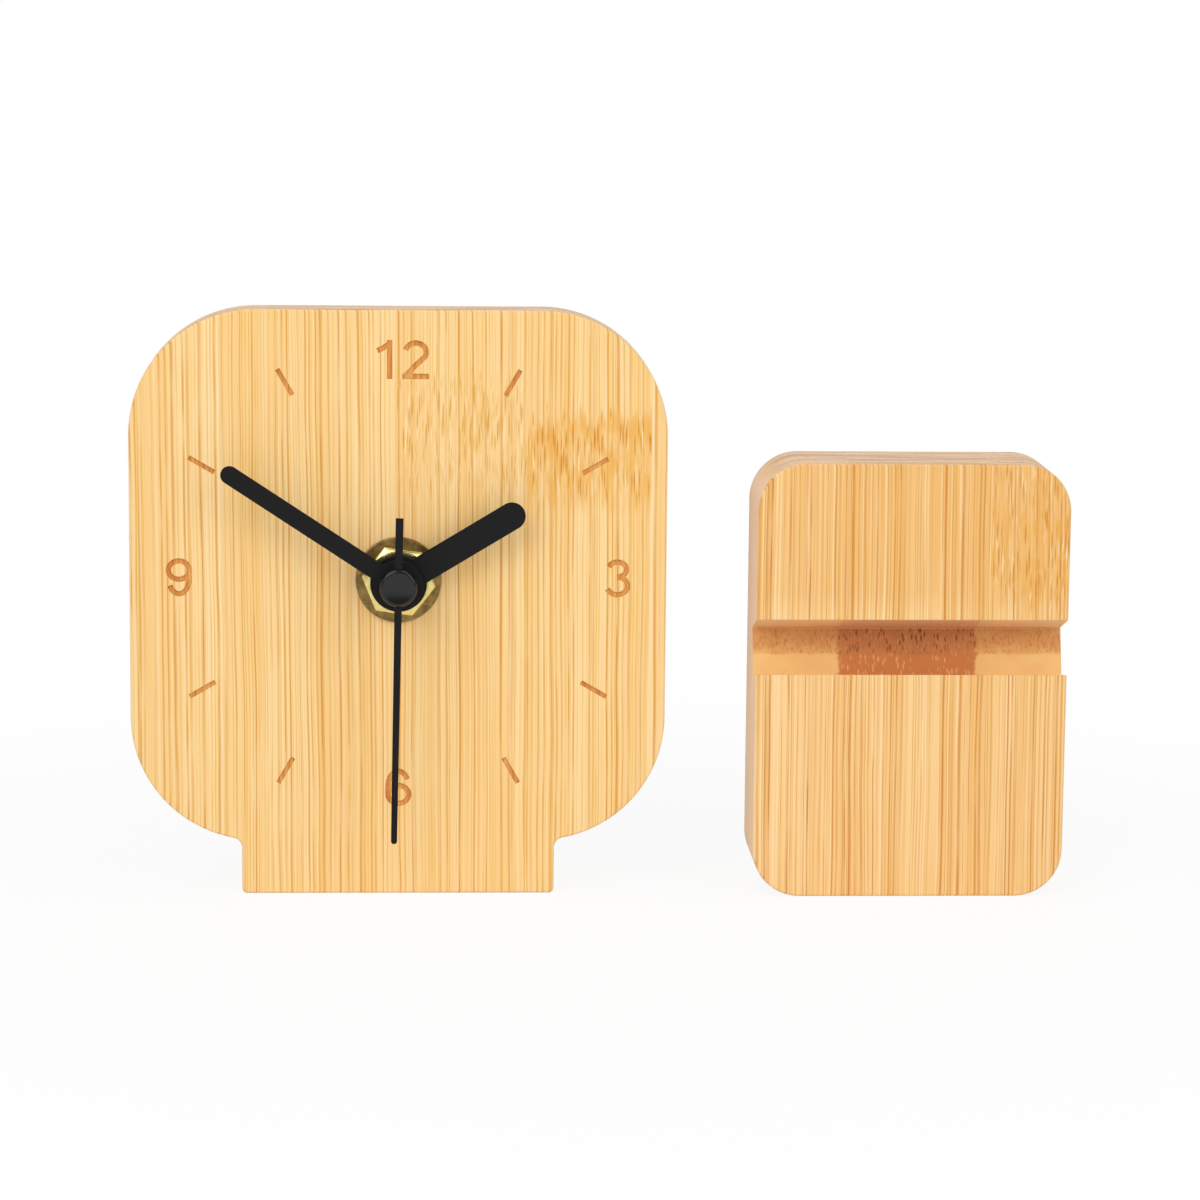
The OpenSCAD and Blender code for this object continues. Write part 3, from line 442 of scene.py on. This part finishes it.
plate_low, plate_high = corners("dial_plate")
axis = Vector((0.0, 0.0, sum(end.z for end in corners("washer")) / 2))
half_plate, half_foot, top = plate_high.x, 29.35, plate_high.z
corner_r, fillet_r, toe_r, sanded = 23.5, 2.0, 1.0, 0.5
side, lower = half_plate - corner_r, top - 2 * half_plate + corner_r
bend_radians = math.acos((half_foot + fillet_r - side) / (corner_r + fillet_r))
bend, waist = math.degrees(bend_radians), lower - (corner_r + fillet_r) * math.sin(bend_radians)
right = [(side, top - corner_r, 90), (half_plate, lower), (side, lower, bend),
         (half_foot + fillet_r, waist, -bend), (half_foot, toe_r), (half_foot - toe_r, toe_r, 90)]
left = [(toe_r - half_foot, 0.0), (toe_r - half_foot, toe_r, 90), (-half_foot, waist),
        (-half_foot - fillet_r, waist, -bend), (-side, lower, bend),
        (-half_plate, top - corner_r), (-side, top - corner_r, 90)]
bm = board([(-side, top), (side, top)] + right + left, plate_low.y, plate_high.y, 2.0)
ease(bm, rims(bm, plate_low.y, plate_high.y), sanded)

bore_r, bore_length = 4.4, 20.0
bore = bmesh.new()
bmesh.ops.create_cone(bore, cap_ends=True, segments=96, radius1=bore_r, radius2=bore_r,
                      depth=bore_length)
swing(bore, 90, "X")
bmesh.ops.translate(bore, vec=axis, verts=bore.verts)
carve(bm, bore)

burn_depth, dial_r, near = 0.3, 47.0, 0.01
engraving = solid("dial_plate", 0.001)
others = [face for face in engraving.faces
          if abs(face.calc_center_median().y - plate_low.y - burn_depth) > near
          or face.normal.y > -0.9]
bmesh.ops.delete(engraving, geom=others, context="FACES")
thicken(engraving, engraving.faces[:], -2 * burn_depth)
carve(bm, engraving)
for face in bm.faces:
    middle = face.calc_center_median()
    sunk = middle.y - plate_low.y
    if (middle - axis).xz.length < dial_r and 0.001 < sunk < burn_depth + near:
        face.material_index = 1

plate_seams, plate_plies = (-48.3, -24.3, -0.35, 23.9, 47.0), (-1.6, 1.6)
plate_knuckles = [(-0.35, 23.9, 77.4, 97.5, 0.10), (23.9, 47.0, 76.4, 90.5, 0.85)]
plate_bamboo = bamboo("plate_bamboo", plate_seams, plate_plies, plate_knuckles, (
    shade(251, 216, 156), shade(248, 206, 138), shade(234, 184, 88), shade(223, 160, 64),
    shade(216, 146, 52)))
piece("clock_plate", bm, [plate_bamboo, burnt()], "clock", ["dial_plate"])


# The base: a bamboo board of three layers, 20 mm thick, its corners rounded and its edges
# eased, with one slanted slot sawn right across it. The sawn walls show the cut fibres as
# dark dots, and the middle strip is a darker cane.
base_low, base_high = corners("base_block")
across, tall, round_r = (base_low.x + base_high.x) / 2, base_high.z, 9.0
left_centre, right_centre = base_low.x + round_r, base_high.x - round_r
bm = board([(left_centre, tall), (right_centre, tall), (right_centre, tall - round_r, 90),
            (base_high.x, round_r), (right_centre, round_r, 90), (left_centre, 0.0),
            (left_centre, round_r, 90), (base_low.x, tall - round_r),
            (left_centre, tall - round_r, 90)], base_low.y, base_high.y, 3.0)
ease(bm, rims(bm, base_low.y, base_high.y), sanded)

lip, slant, saw_depth, saw_width, saw_length = tall - 29.4, 18.0, 9.5, 9.8, 70.0
saw = bmesh.new()
bmesh.ops.create_cube(saw, size=1.0)
bmesh.ops.scale(saw, vec=(saw_length, 2 * saw_depth, saw_width), verts=saw.verts)
bmesh.ops.translate(saw, vec=(0.0, 0.0, -saw_width / 2), verts=saw.verts)
swing(saw, -slant, "X")
bmesh.ops.translate(saw, vec=(across, base_low.y, lip), verts=saw.verts)
carve(bm, saw)


def on_saw(face):
    """Whether a face is one of the slot's three walls."""
    from_lip = face.calc_center_median() - Vector((across, base_low.y, lip))
    at = Matrix.Rotation(math.radians(slant), 3, "X") @ from_lip
    on_wall = min(abs(at.z), abs(at.z + saw_width), abs(at.y - saw_depth)) < near
    in_slot = -saw_width - 0.2 < at.z < 0.2 and -4.0 < at.y < saw_depth + 0.1
    return on_wall and in_slot and abs(face.normal.x) < near


bm.normal_update()
for face in bm.faces:
    face.material_index = 1 if on_saw(face) else 0
lips = [edge for edge in bm.edges if len(edge.link_faces) == 2
        and len({face.material_index for face in edge.link_faces}) == 2]
ease(bm, lips, sanded / 2, 2)

glue = base_low.y + 7.55
base_seams, base_plies = (83.8, 110.5), (glue, glue + 4.9)
base_knuckles = [(110.5, 125.2, 58.7, 72.9, 0.7), (110.5, 125.2, 76.9, 82.0, 0.2)]
base_bamboo = bamboo("base_bamboo", base_seams, base_plies, base_knuckles, (
    shade(250, 211, 150), shade(243, 194, 124), shade(222, 160, 74), shade(211, 141, 56),
    shade(204, 128, 46)), lip)


def sawn_walls():
    """Bamboo sawn nearly along the fibre: each bundle is a short dark fleck. The layer in
    front of the glue line is pale, and the middle strip darker than the two beside it."""
    sawn = Finish("sawn_bamboo")
    x, y, z = sawn.place()
    ragged = sawn.noise(x * 0.2, y, z * 0.6, 2.0) * 2.4
    middle = sawn.fade(x + ragged, 83.7, 84.5) * sawn.fade(x + ragged, 110.7, 109.9)
    uneven = sawn.noise(x * 0.3, y * 0.2, z * 0.2) * 0.3
    front = sawn.fade(y + uneven, glue + 0.2, glue + 0.02)
    beside, inner = 1.0 - middle, 1.0 - front

    def flecks(pitch, length, width):
        off, luck = sawn.cells({"Vector": sawn.point(x / pitch, y * 0.2, z / length)})
        return sawn.fade(off, width, width * 0.5) * sawn.fade(luck[0], 0.0, 0.5)

    bold = flecks(pitch=0.50, length=1.6, width=0.48)
    small = flecks(pitch=0.36, length=1.0, width=0.46)
    bright = flecks(pitch=0.48, length=1.7, width=0.42)
    cloud = sawn.noise(x * 0.25, y * 0.35, z * 0.35, 3.0)
    grit = sawn.noise(x * 3.0, y * 3.0, z * 1.4, 2.0)
    # Higher up the slot's walls the side strips darken and the middle strip's flecks grow bolder:
    # partly darker end grain, partly painted shade under the lip.
    top_grain_and_shade = sawn.fade(z, 44.7, 47.7)
    # The slot's upper wall along the lip is painted paler: painted light, standing in for the
    # light that reaches it there.
    ceiling_painted_light = sawn.fade(z + (y - base_low.y) * math.tan(math.radians(slant)), lip - 0.3, lip - 0.1)
    colour = sawn.coats(
        sawn.mix(sawn.fade(cloud, 0.3, 0.7), shade(240, 190, 116), shade(228, 168, 96)),
        (top_grain_and_shade * beside * 0.55, shade(214, 148, 92)),
        (middle * 0.92, sawn.mix(cloud, shade(212, 138, 82), shade(190, 114, 66))),
        (front * middle * 0.8, shade(208, 130, 68)),
        (front * beside * 0.7, shade(246, 204, 134)),
        (small * inner * 0.45 + bold * beside * inner * 0.3, shade(176, 108, 62)),
        (bold * middle * inner * (top_grain_and_shade * 0.5 + 0.3), shade(122, 62, 32)),
        (bright * (front * 0.45 + middle * 0.2), shade(246, 186, 126)),
        # Painted light on the slot's upper wall.
        (ceiling_painted_light * 0.6, shade(240, 194, 146)))
    return sawn.surface(colour, 0.62 + grit * 0.1, grit - bold, 0.00003, Specular_IOR_Level=0.25)


piece("slotted_base", bm, [base_bamboo, sawn_walls()], "base", ["base_block"])


# The threaded bushing of the movement: turned brass that stands through the plate's
# bore from behind, its thread cut 0.75 mm fine and its front end chamfered.
def turned(profile, steps=96, closed=False):
    """A lathe shape about the hands' axis. profile is a row of (radius, y)."""
    bm = bmesh.new()
    verts = [bm.verts.new((axis.x + r, y, axis.z)) for r, y in profile]
    pairs = zip(verts, verts[1:] + verts[:1]) if closed else zip(verts, verts[1:])
    edges = [bm.edges.new(pair) for pair in pairs]
    bmesh.ops.spin(bm, geom=verts + edges, cent=axis, axis=(0, 1, 0), angle=math.tau,
                   steps=steps, use_merge=True)
    bmesh.ops.remove_doubles(bm, verts=bm.verts, dist=0.0005)
    bmesh.ops.recalc_face_normals(bm, faces=bm.faces)
    return bm


def brass(name, clean, worn, dark, wear, rough):
    """Turned brass with faint tool rings, handling marks and tarnish."""
    metal = Finish(name)
    x, y, z = metal.place()
    reach = metal.node("ShaderNodeMath", {"operation": "SQRT"},
                       {0: x * x + (z - axis.z) * (z - axis.z)})
    rings = metal.noise(reach * 9.0, 0.0, y * 9.0, 2.0)
    stain = metal.noise(x * 0.55, y * 0.8, z * 0.55, 3.0, 0.6)
    scratch = metal.noise(x * 1.2 + z * 5.0, y * 3.0, z * 1.2, 2.0, 0.7)
    colour = metal.mix(metal.fade(stain, 0.35, 0.65), clean, worn)
    colour = metal.mix(metal.fade(scratch, 0.5, 0.75) * wear, colour, dark)
    return metal.surface(colour, rough + stain * 0.16 + rings * 0.06, rings + scratch, 0.000006,
                         Metallic=1.0)


bright_brass = brass("bright_brass", shade(250, 235, 164), shade(238, 217, 134),
                     shade(184, 152, 78), 0.35, 0.16)
bush_low, bush_high = corners("threaded_bushing")
hollow, neck, crest, flange, thread_end, flange_front = 2.58, 3.6, 4.0, 5.5, 4.6, 6.95
bush = turned([(hollow, bush_low.y + 0.15), (2.75, bush_low.y), (3.45, bush_low.y),
               (neck, bush_low.y + 0.12), (neck, thread_end), (crest, thread_end),
               (crest, flange_front), (flange, flange_front), (flange, bush_high.y),
               (hollow, bush_high.y)], 72, True)
pitch, turns, steps_each = 0.75, 16, 48
start, root, rise = bush_low.y + 0.25, neck - 0.05, 0.34
thread = [bush.verts.new((r, start + along, axis.z))
          for r, along in ((root, 0.0), (crest - 0.03, rise), (root, 2 * rise))]
edges = [bush.edges.new(pair) for pair in zip(thread, thread[1:])]
bmesh.ops.spin(bush, geom=thread + edges, cent=axis, axis=(0, 1, 0),
               dvec=(0, pitch / steps_each, 0), angle=math.tau * turns, steps=steps_each * turns)
piece("bushing", bush, bright_brass, "clock", ["threaded_bushing"])


# The rubber gasket between the plate and the movement: a moulded ring, soft black and
# slightly dusty, its edges round.
def rubber():
    soft = Finish("gasket_rubber")
    x, y, z = soft.place()
    dust = soft.noise(x * 0.8, y * 0.8, z * 0.8, 4.0)
    grain = soft.noise(x * 7.0, y * 7.0, z * 7.0, 1.0)
    colour = soft.mix(soft.fade(dust, 0.45, 0.75), shade(38, 38, 40), shade(66, 65, 64))
    return soft.surface(colour, 0.72 + dust * 0.15, grain, 0.00001)


ring_low, ring_high = corners("rubber_gasket")
ring_bore, ring_r, edge_r = 4.02, 10.0, 0.2
bm = turned([(ring_bore, ring_low.y), (ring_r - edge_r, ring_low.y), (ring_r, ring_low.y + edge_r),
             (ring_r, ring_high.y - edge_r), (ring_r - edge_r, ring_high.y),
             (ring_bore, ring_high.y)], 96, True)
piece("gasket", bm, rubber(), "clock", ["rubber_gasket"])


# The movement's case: two halves moulded in black plastic with a fine spark-eroded skin,
# snapped together by four hooks. The rear half has the open bay for the cell.
def moulded(name, colour, worn, rough, grain_size=0.16, relief=0.000012):
    """Moulded plastic: a fine even grain, flow marks and a little wear from handling."""
    plastic = Finish(name)
    x, y, z = plastic.place()
    pitch = 1.0 / grain_size
    grain = plastic.noise(x * pitch, y * pitch, z * pitch, 1.0)
    flow = plastic.noise(x * 0.09, y * 0.2, z * 0.13, 3.0)
    wear = plastic.fade(flow, 0.35, 0.7) * 0.8 + grain * 0.2
    return plastic.surface(plastic.mix(wear, colour, worn), rough + flow * 0.14 + grain * 0.05,
                           grain, relief)


def eased(node, width, angle=40.0):
    """A CAD node's shape with its outer edges sharper than angle rounded."""
    bm = solid(node, 0.002)
    bmesh.ops.dissolve_limit(bm, angle_limit=math.radians(0.5), verts=bm.verts, edges=bm.edges)
    bm.normal_update()
    edges = [edge for edge in bm.edges if len(edge.link_faces) == 2 and edge.is_convex
             and edge.calc_face_angle(0) > math.radians(angle)]
    ease(bm, edges, width, 2)
    return bm


case_black = moulded("case_plastic", shade(30, 30, 32), shade(44, 44, 46), 0.42)
case_edge = 0.25
piece("case_front", eased("front_case", case_edge), case_black, "clock", ["front_case"])
piece("case_rear", eased("rear_case", case_edge), case_black, "clock", ["rear_case"])


# Inside the case: the two white carriers for the wheels, moulded in stiff plastic. They
# keep the shapes of the solids.
def dress(material, *nodes):
    """Gives CAD nodes a finish. Their shapes are right as they are."""
    for node in nodes:
        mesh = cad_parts[node].data
        mesh.materials.clear()
        mesh.materials.append(material)
        mesh.shade_smooth()
        mesh.set_sharp_from_angle(angle=math.radians(35))


dress(moulded("carrier_plastic", shade(232, 231, 226), shade(240, 239, 235), 0.4),
      "middle_plate", "gear_bridge")


# The wheels and their pinions: moulded acetal, creamy white with a slight shine. They
# keep the shapes of the solids too.
dress(moulded("gear_plastic", shade(236, 232, 216), shade(246, 243, 232), 0.32, 0.3, 0.000004),
      "rotor_pinion", "intermediate_wheel", "second_wheel", "third_wheel", "minute_wheel",
      "cannon_pinion", "motion_wheel", "hour_wheel", "setting_pinion")


# The other metal parts: steel arbor and clutch spring, nickel-plated contacts, the
# motor's soft iron, and the can of the quartz crystal.
def metal_sheet(name, colour, worn, rough):
    """Rolled or drawn metal with fine lines along the sheet."""
    metal = Finish(name)
    x, y, z = metal.place()
    lines = metal.noise(x * 8.0, y * 8.0, z * 0.5, 2.0)
    stain = metal.noise(x * 0.4, y * 0.4, z * 0.4, 3.0)
    return metal.surface(metal.mix(metal.fade(stain, 0.35, 0.7), colour, worn),
                         rough + lines * 0.12 + stain * 0.08, lines, 0.000003, Metallic=1.0)


dress(metal_sheet("arbor_steel", shade(206, 208, 212), shade(186, 188, 192), 0.14),
      "second_arbor", "clutch_spring")
dress(metal_sheet("contact_steel", shade(214, 212, 206), shade(196, 192, 182), 0.2),
      "positive_contact", "negative_contact")
dress(metal_sheet("soft_iron", shade(150, 152, 156), shade(128, 128, 130), 0.3),
      "coil_core", "stator")
dress(metal_sheet("can_metal", shade(200, 202, 206), shade(180, 182, 186), 0.18),
      "quartz_crystal")


# The motor's magnet, bobbin and winding. The winding is fine enamelled copper wire, laid
# in close turns along X.
def sintered():
    stone = Finish("magnet")
    x, y, z = stone.place()
    grit = stone.noise(x * 6.0, y * 6.0, z * 6.0, 3.0, 0.7)
    return stone.surface(stone.mix(grit, shade(58, 58, 62), shade(92, 92, 96)), 0.4 + grit * 0.2,
                         grit, 0.000008, Metallic=0.6)


def wound():
    wire = Finish("copper_wire")
    x, y, z = wire.place()
    turn = wire.node("ShaderNodeMath", {"operation": "SINE"},
                     {0: x * 42.0 + wire.noise(x, y, z) * 1.5})
    tint = wire.noise(x * 0.9, y * 0.9, z * 0.9, 2.0)
    copper = wire.mix(tint, shade(208, 112, 62), shade(184, 88, 46))
    # The wire is painted darker towards the grooves between turns: painted shade.
    return wire.surface(wire.mix(wire.fade(turn, -0.6, 0.9), shade(120, 52, 26), copper),
                        0.24 + tint * 0.12, turn, 0.00002, Metallic=0.85, Coat_Weight=0.5)


dress(sintered(), "rotor_magnet")
dress(moulded("bobbin_plastic", shade(226, 222, 206), shade(238, 234, 222), 0.4), "coil_bobbin")
dress(wound(), "coil_winding")


# The circuit: a small green board with tinned pads and the driver under a drop of black
# resin.
def laminate():
    green = Finish("board")
    x, y, z = green.place()
    weave = green.noise(x * 4.0, y, z * 4.0, 1.0)
    across_x, across_z = [
        abs(green.node("ShaderNodeMath", {"operation": "FRACT"}, {0: along * 0.33}) - 0.5)
        for along in (x, z)]
    track = green.fade(across_x, 0.10, 0.07) * (across_z > 0.16)
    pad = green.fade(across_x, 0.18, 0.15) * green.fade(across_z, 0.10, 0.07)
    colour = green.coats(green.mix(weave * 0.5, shade(22, 88, 52), shade(30, 104, 62)),
                         (track, shade(48, 128, 70)), (pad, shade(206, 206, 200)))
    return green.surface(colour, 0.3 + weave * 0.12, track + pad, 0.00002, Metallic=pad * 0.9)


def resin():
    drop = Finish("chip_epoxy")
    x, y, z = drop.place()
    swirl = drop.noise(x * 0.5, y * 0.5, z * 0.5, 2.0)
    return drop.surface(drop.mix(swirl, shade(16, 16, 17), shade(30, 30, 31)), 0.18 + swirl * 0.15,
                        swirl, 0.00004)


dress(laminate(), "circuit_board")
dress(resin(), "driver_chip")


# The AA cell: a steel can in a plain shrunk jacket, with the bare end that carries the
# button at +X and the flat bare end at -X.
def jacket():
    """The printed film: one plain colour with a paler band at the button end."""
    film = Finish("cell_jacket")
    x, y, z = film.place()
    wrinkle = film.noise(x * 0.35, y * 0.5, z * 0.5, 3.0)
    grain = film.noise(x * 5.0, y * 5.0, z * 5.0, 1.0)
    band_from = 14.9
    colour = film.coats(shade(52, 78, 104),
                        (film.fade(x, band_from, band_from + 0.2), shade(190, 194, 198)),
                        (wrinkle * 0.3, shade(92, 116, 140)))
    return film.surface(colour, 0.26 + wrinkle * 0.12 + grain * 0.04, wrinkle, 0.00005,
                        Coat_Weight=0.3)


cell_low, cell_high = corners("battery")
mid = Vector((0.0, (cell_low.y + cell_high.y) / 2, (cell_low.z + cell_high.z) / 2))
cell_r, tip, heel = (cell_high.y - cell_low.y) / 2, cell_high.x, cell_low.x
flat_end = [(0.0, heel + 0.25), (cell_r - 2.4, heel + 0.25), (cell_r - 2.2, heel),
            (cell_r - 1.1, heel), (cell_r - 0.9, heel + 0.2), (cell_r - 0.5, heel + 0.2)]
film = [(cell_r - 0.1, heel + 0.45), (cell_r, heel + 0.8), (cell_r, tip - 1.9),
        (cell_r - 0.1, tip - 1.5)]
button_end = [(cell_r - 0.5, tip - 1.2), (cell_r - 1.3, tip - 1.25), (cell_r - 1.6, tip - 1.05),
              (3.1, tip - 1.0), (2.7, tip - 0.9), (2.7, tip - 0.2), (2.5, tip), (0.0, tip)]
bm = bmesh.new()
verts = [bm.verts.new((x, mid.y + reach, mid.z)) for reach, x in flat_end + film + button_end]
edges = [bm.edges.new(pair) for pair in zip(verts, verts[1:])]
bmesh.ops.spin(bm, geom=verts + edges, cent=mid, axis=(1, 0, 0), angle=math.tau, steps=72,
               use_merge=True)
bmesh.ops.remove_doubles(bm, verts=bm.verts, dist=0.0005)
bmesh.ops.recalc_face_normals(bm, faces=bm.faces)
for face in bm.faces:
    middle = face.calc_center_median()
    wrapped = heel + 0.3 < middle.x < tip - 1.3 and (middle - mid).yz.length > cell_r - 0.6
    face.material_index = 0 if wrapped else 1
cell_can = metal_sheet("cell_can", shade(206, 207, 209), shade(188, 189, 192), 0.2)
piece("aa_cell", bm, [jacket(), cell_can], "cell", ["battery"])


# The setting knob: moulded in black plastic a little lighter than the case, and ribbed
# round its edge for the finger.
knob_black = moulded("knob_plastic", shade(34, 34, 36), shade(52, 52, 54), 0.36)
piece("knob", eased("setting_knob", 0.12, 50.0), knob_black, "setting", ["setting_knob"])


# The washer under the nut: stamped brass that has gone dull and brown, its rim rounded
# by the die.
wash_low, wash_high = corners("washer")
wash_bore, wash_r = 4.45, 8.0
bm = turned([(wash_bore, wash_low.y + 0.1), (wash_bore + 0.1, wash_low.y),
             (wash_r - 0.25, wash_low.y), (wash_r - 0.05, wash_low.y + 0.12),
             (wash_r, wash_low.y + 0.35), (wash_r, wash_high.y - 0.05),
             (wash_r - 0.05, wash_high.y), (wash_bore, wash_high.y)], 96, True)
aged_brass = brass("aged_brass", shade(172, 142, 84), shade(130, 106, 66), shade(84, 67, 42),
                   0.7, 0.3)
piece("brass_washer", bm, aged_brass, "clock", ["washer"])


# The nut: cut from hexagon brass bar, 12 mm across its flats, its front corners turned
# off to a cone and its hole countersunk. One corner is 38 degrees clockwise from the top.
nut_low, nut_high = corners("hex_nut")
half_flats, nut_turn, nut_bore = 6.0, 38.0, 4.02
bm = bmesh.new()
bmesh.ops.create_circle(bm, cap_ends=True, segments=6,
                        radius=half_flats / math.cos(math.radians(30)))
swing(bm, 90, "X")
swing(bm, nut_turn, "Y")
bmesh.ops.translate(bm, vec=(0, nut_low.y, axis.z), verts=bm.verts)
thicken(bm, bm.faces[:], nut_high.y - nut_low.y)
beyond = nut_high.y + 1.0
cone = turned([(0.0, nut_low.y), (5.75, nut_low.y), (7.2, nut_low.y + 0.85), (7.2, beyond),
               (0.0, beyond)])
carve(bm, cone, "INTERSECT")
hole = turned([(0.0, nut_low.y - 1.0), (4.9, nut_low.y - 0.6), (nut_bore, nut_low.y + 0.35),
               (nut_bore, beyond), (0.0, beyond)])
carve(bm, hole)
bmesh.ops.remove_doubles(bm, verts=bm.verts, dist=0.001)
edges = [edge for edge in bm.edges if len(edge.link_faces) == 2 and edge.calc_face_angle(0) > 0.35]
ease(bm, edges, 0.07, 2)
piece("nut", bm, bright_brass, "clock", ["hex_nut"], 30.0)


# The hour and minute hands: bars stamped from thin sheet with a disc at the end, pressed
# on their tubes by a collar, and painted matt black. The die leaves the front edge round.
def paint():
    """Sprayed matt black with a very fine orange-peel."""
    coat = Finish("hand_black")
    x, y, z = coat.place()
    peel = coat.noise(x * 4.0, y * 4.0, z * 4.0, 2.0)
    cloud = coat.noise(x * 0.15, y * 0.15, z * 0.15, 2.0)
    return coat.surface(coat.mix(cloud, shade(17, 17, 18), shade(22, 22, 24)),
                        0.5 + peel * 0.08 + cloud * 0.06, peel, 0.000008, Specular_IOR_Level=0.2)


hand_black = paint()


def hand(node, disc_r, width, length, angle, tube_r, collar_r):
    """A hand's blank, drawn pointing up and then turned to its angle."""
    low, high = corners(node)
    sheet = 0.5
    front, back, collar_back = low.y, low.y + sheet, high.y
    half, reach = width / 2, length - width / 2
    shoulder = math.sqrt(disc_r ** 2 - half ** 2)
    open_angle = math.degrees(math.asin(half / disc_r))
    bm = board([(half, axis.z + shoulder), (0.0, axis.z, 360 - 2 * open_angle),
                (-half, axis.z + reach), (0.0, axis.z + reach, 180)], front, back, 4.0)
    ease(bm, rims(bm, front), 0.1, 2)
    ease(bm, rims(bm, back), 0.04, 1)
    sleeve = turned([(tube_r, back - 0.2), (collar_r - 0.1, back - 0.2), (collar_r, back),
                     (collar_r, collar_back - 0.1), (collar_r - 0.1, collar_back),
                     (tube_r, collar_back)], 64, True)
    bore = turned([(0.0, front - 1.0), (tube_r, front - 1.0), (tube_r, collar_back + 1.0),
                   (0.0, collar_back + 1.0)], 64)
    carve(bm, bore)
    blank = bpy.data.meshes.new("sleeve")
    sleeve.to_mesh(blank)
    bm.from_mesh(blank)
    sleeve.free()
    swing(bm, angle, "Y", axis)
    return bm


hour_bar = hand("hour_hand", disc_r=5.25, width=5.1, length=27.0, angle=58.8, tube_r=2.54,
                collar_r=3.4)
piece("hour_bar", hour_bar, hand_black, "hour", ["hour_hand"])
minute_bar = hand("minute_hand", disc_r=4.6, width=3.35, length=38.8, angle=303.3, tube_r=1.72,
                  collar_r=2.5)
piece("minute_bar", minute_bar, hand_black, "minute", ["minute_hand"])


# The second hand: a narrow tapered blade with a square tail, under a moulded cap that
# holds it, and pressed on the fine arbor by a brass collar behind.
second_low, second_high = corners("second_hand")
half, tip_half, blade_length, tail_length, second_angle = 0.725, 0.57, 48.0, 13.0, 180.9
tail, tip = axis.z - tail_length, axis.z + blade_length - tip_half
bm = board([(-half, tail), (-tip_half, tip), (0.0, tip, 180), (half, tail)],
           second_low.y, second_high.y, 10.0)
ease(bm, rims(bm, second_low.y, second_high.y), 0.08, 2)
swing(bm, second_angle, "Y", axis)
piece("second_blade", bm, hand_black, "second", ["second_hand"])

collar_low, collar_high = corners("second_hand_collar")
pin_r, collar_r = 0.42, 0.95
bm = turned([(pin_r, collar_low.y), (collar_r, collar_low.y), (collar_r, collar_high.y - 0.1),
             (collar_r - 0.1, collar_high.y), (pin_r, collar_high.y)], 48, True)
piece("second_collar", bm, bright_brass, "second", ["second_hand_collar"])

cap_low, cap_high = corners("second_hand_cap")
cap_r, cap_round, socket_r = 3.45, 0.5, 0.97
rim = [(cap_r - cap_round + cap_round * math.sin(math.radians(a)),
        cap_low.y + cap_round - cap_round * math.cos(math.radians(a))) for a in range(0, 91, 15)]
bm = turned([(0.0, cap_low.y + 0.06), (2.5, cap_low.y + 0.05), (2.75, cap_low.y)] + rim
            + [(cap_r, cap_high.y - 0.15), (cap_r - 0.15, cap_high.y), (socket_r, cap_high.y),
               (socket_r, cap_high.y - 1.0)])
cap_black = moulded("cap_black", shade(10, 10, 11), shade(15, 15, 17), 0.08, 0.3, 0.000003)
piece("hand_cap", bm, cap_black, "second", ["second_hand_cap"])
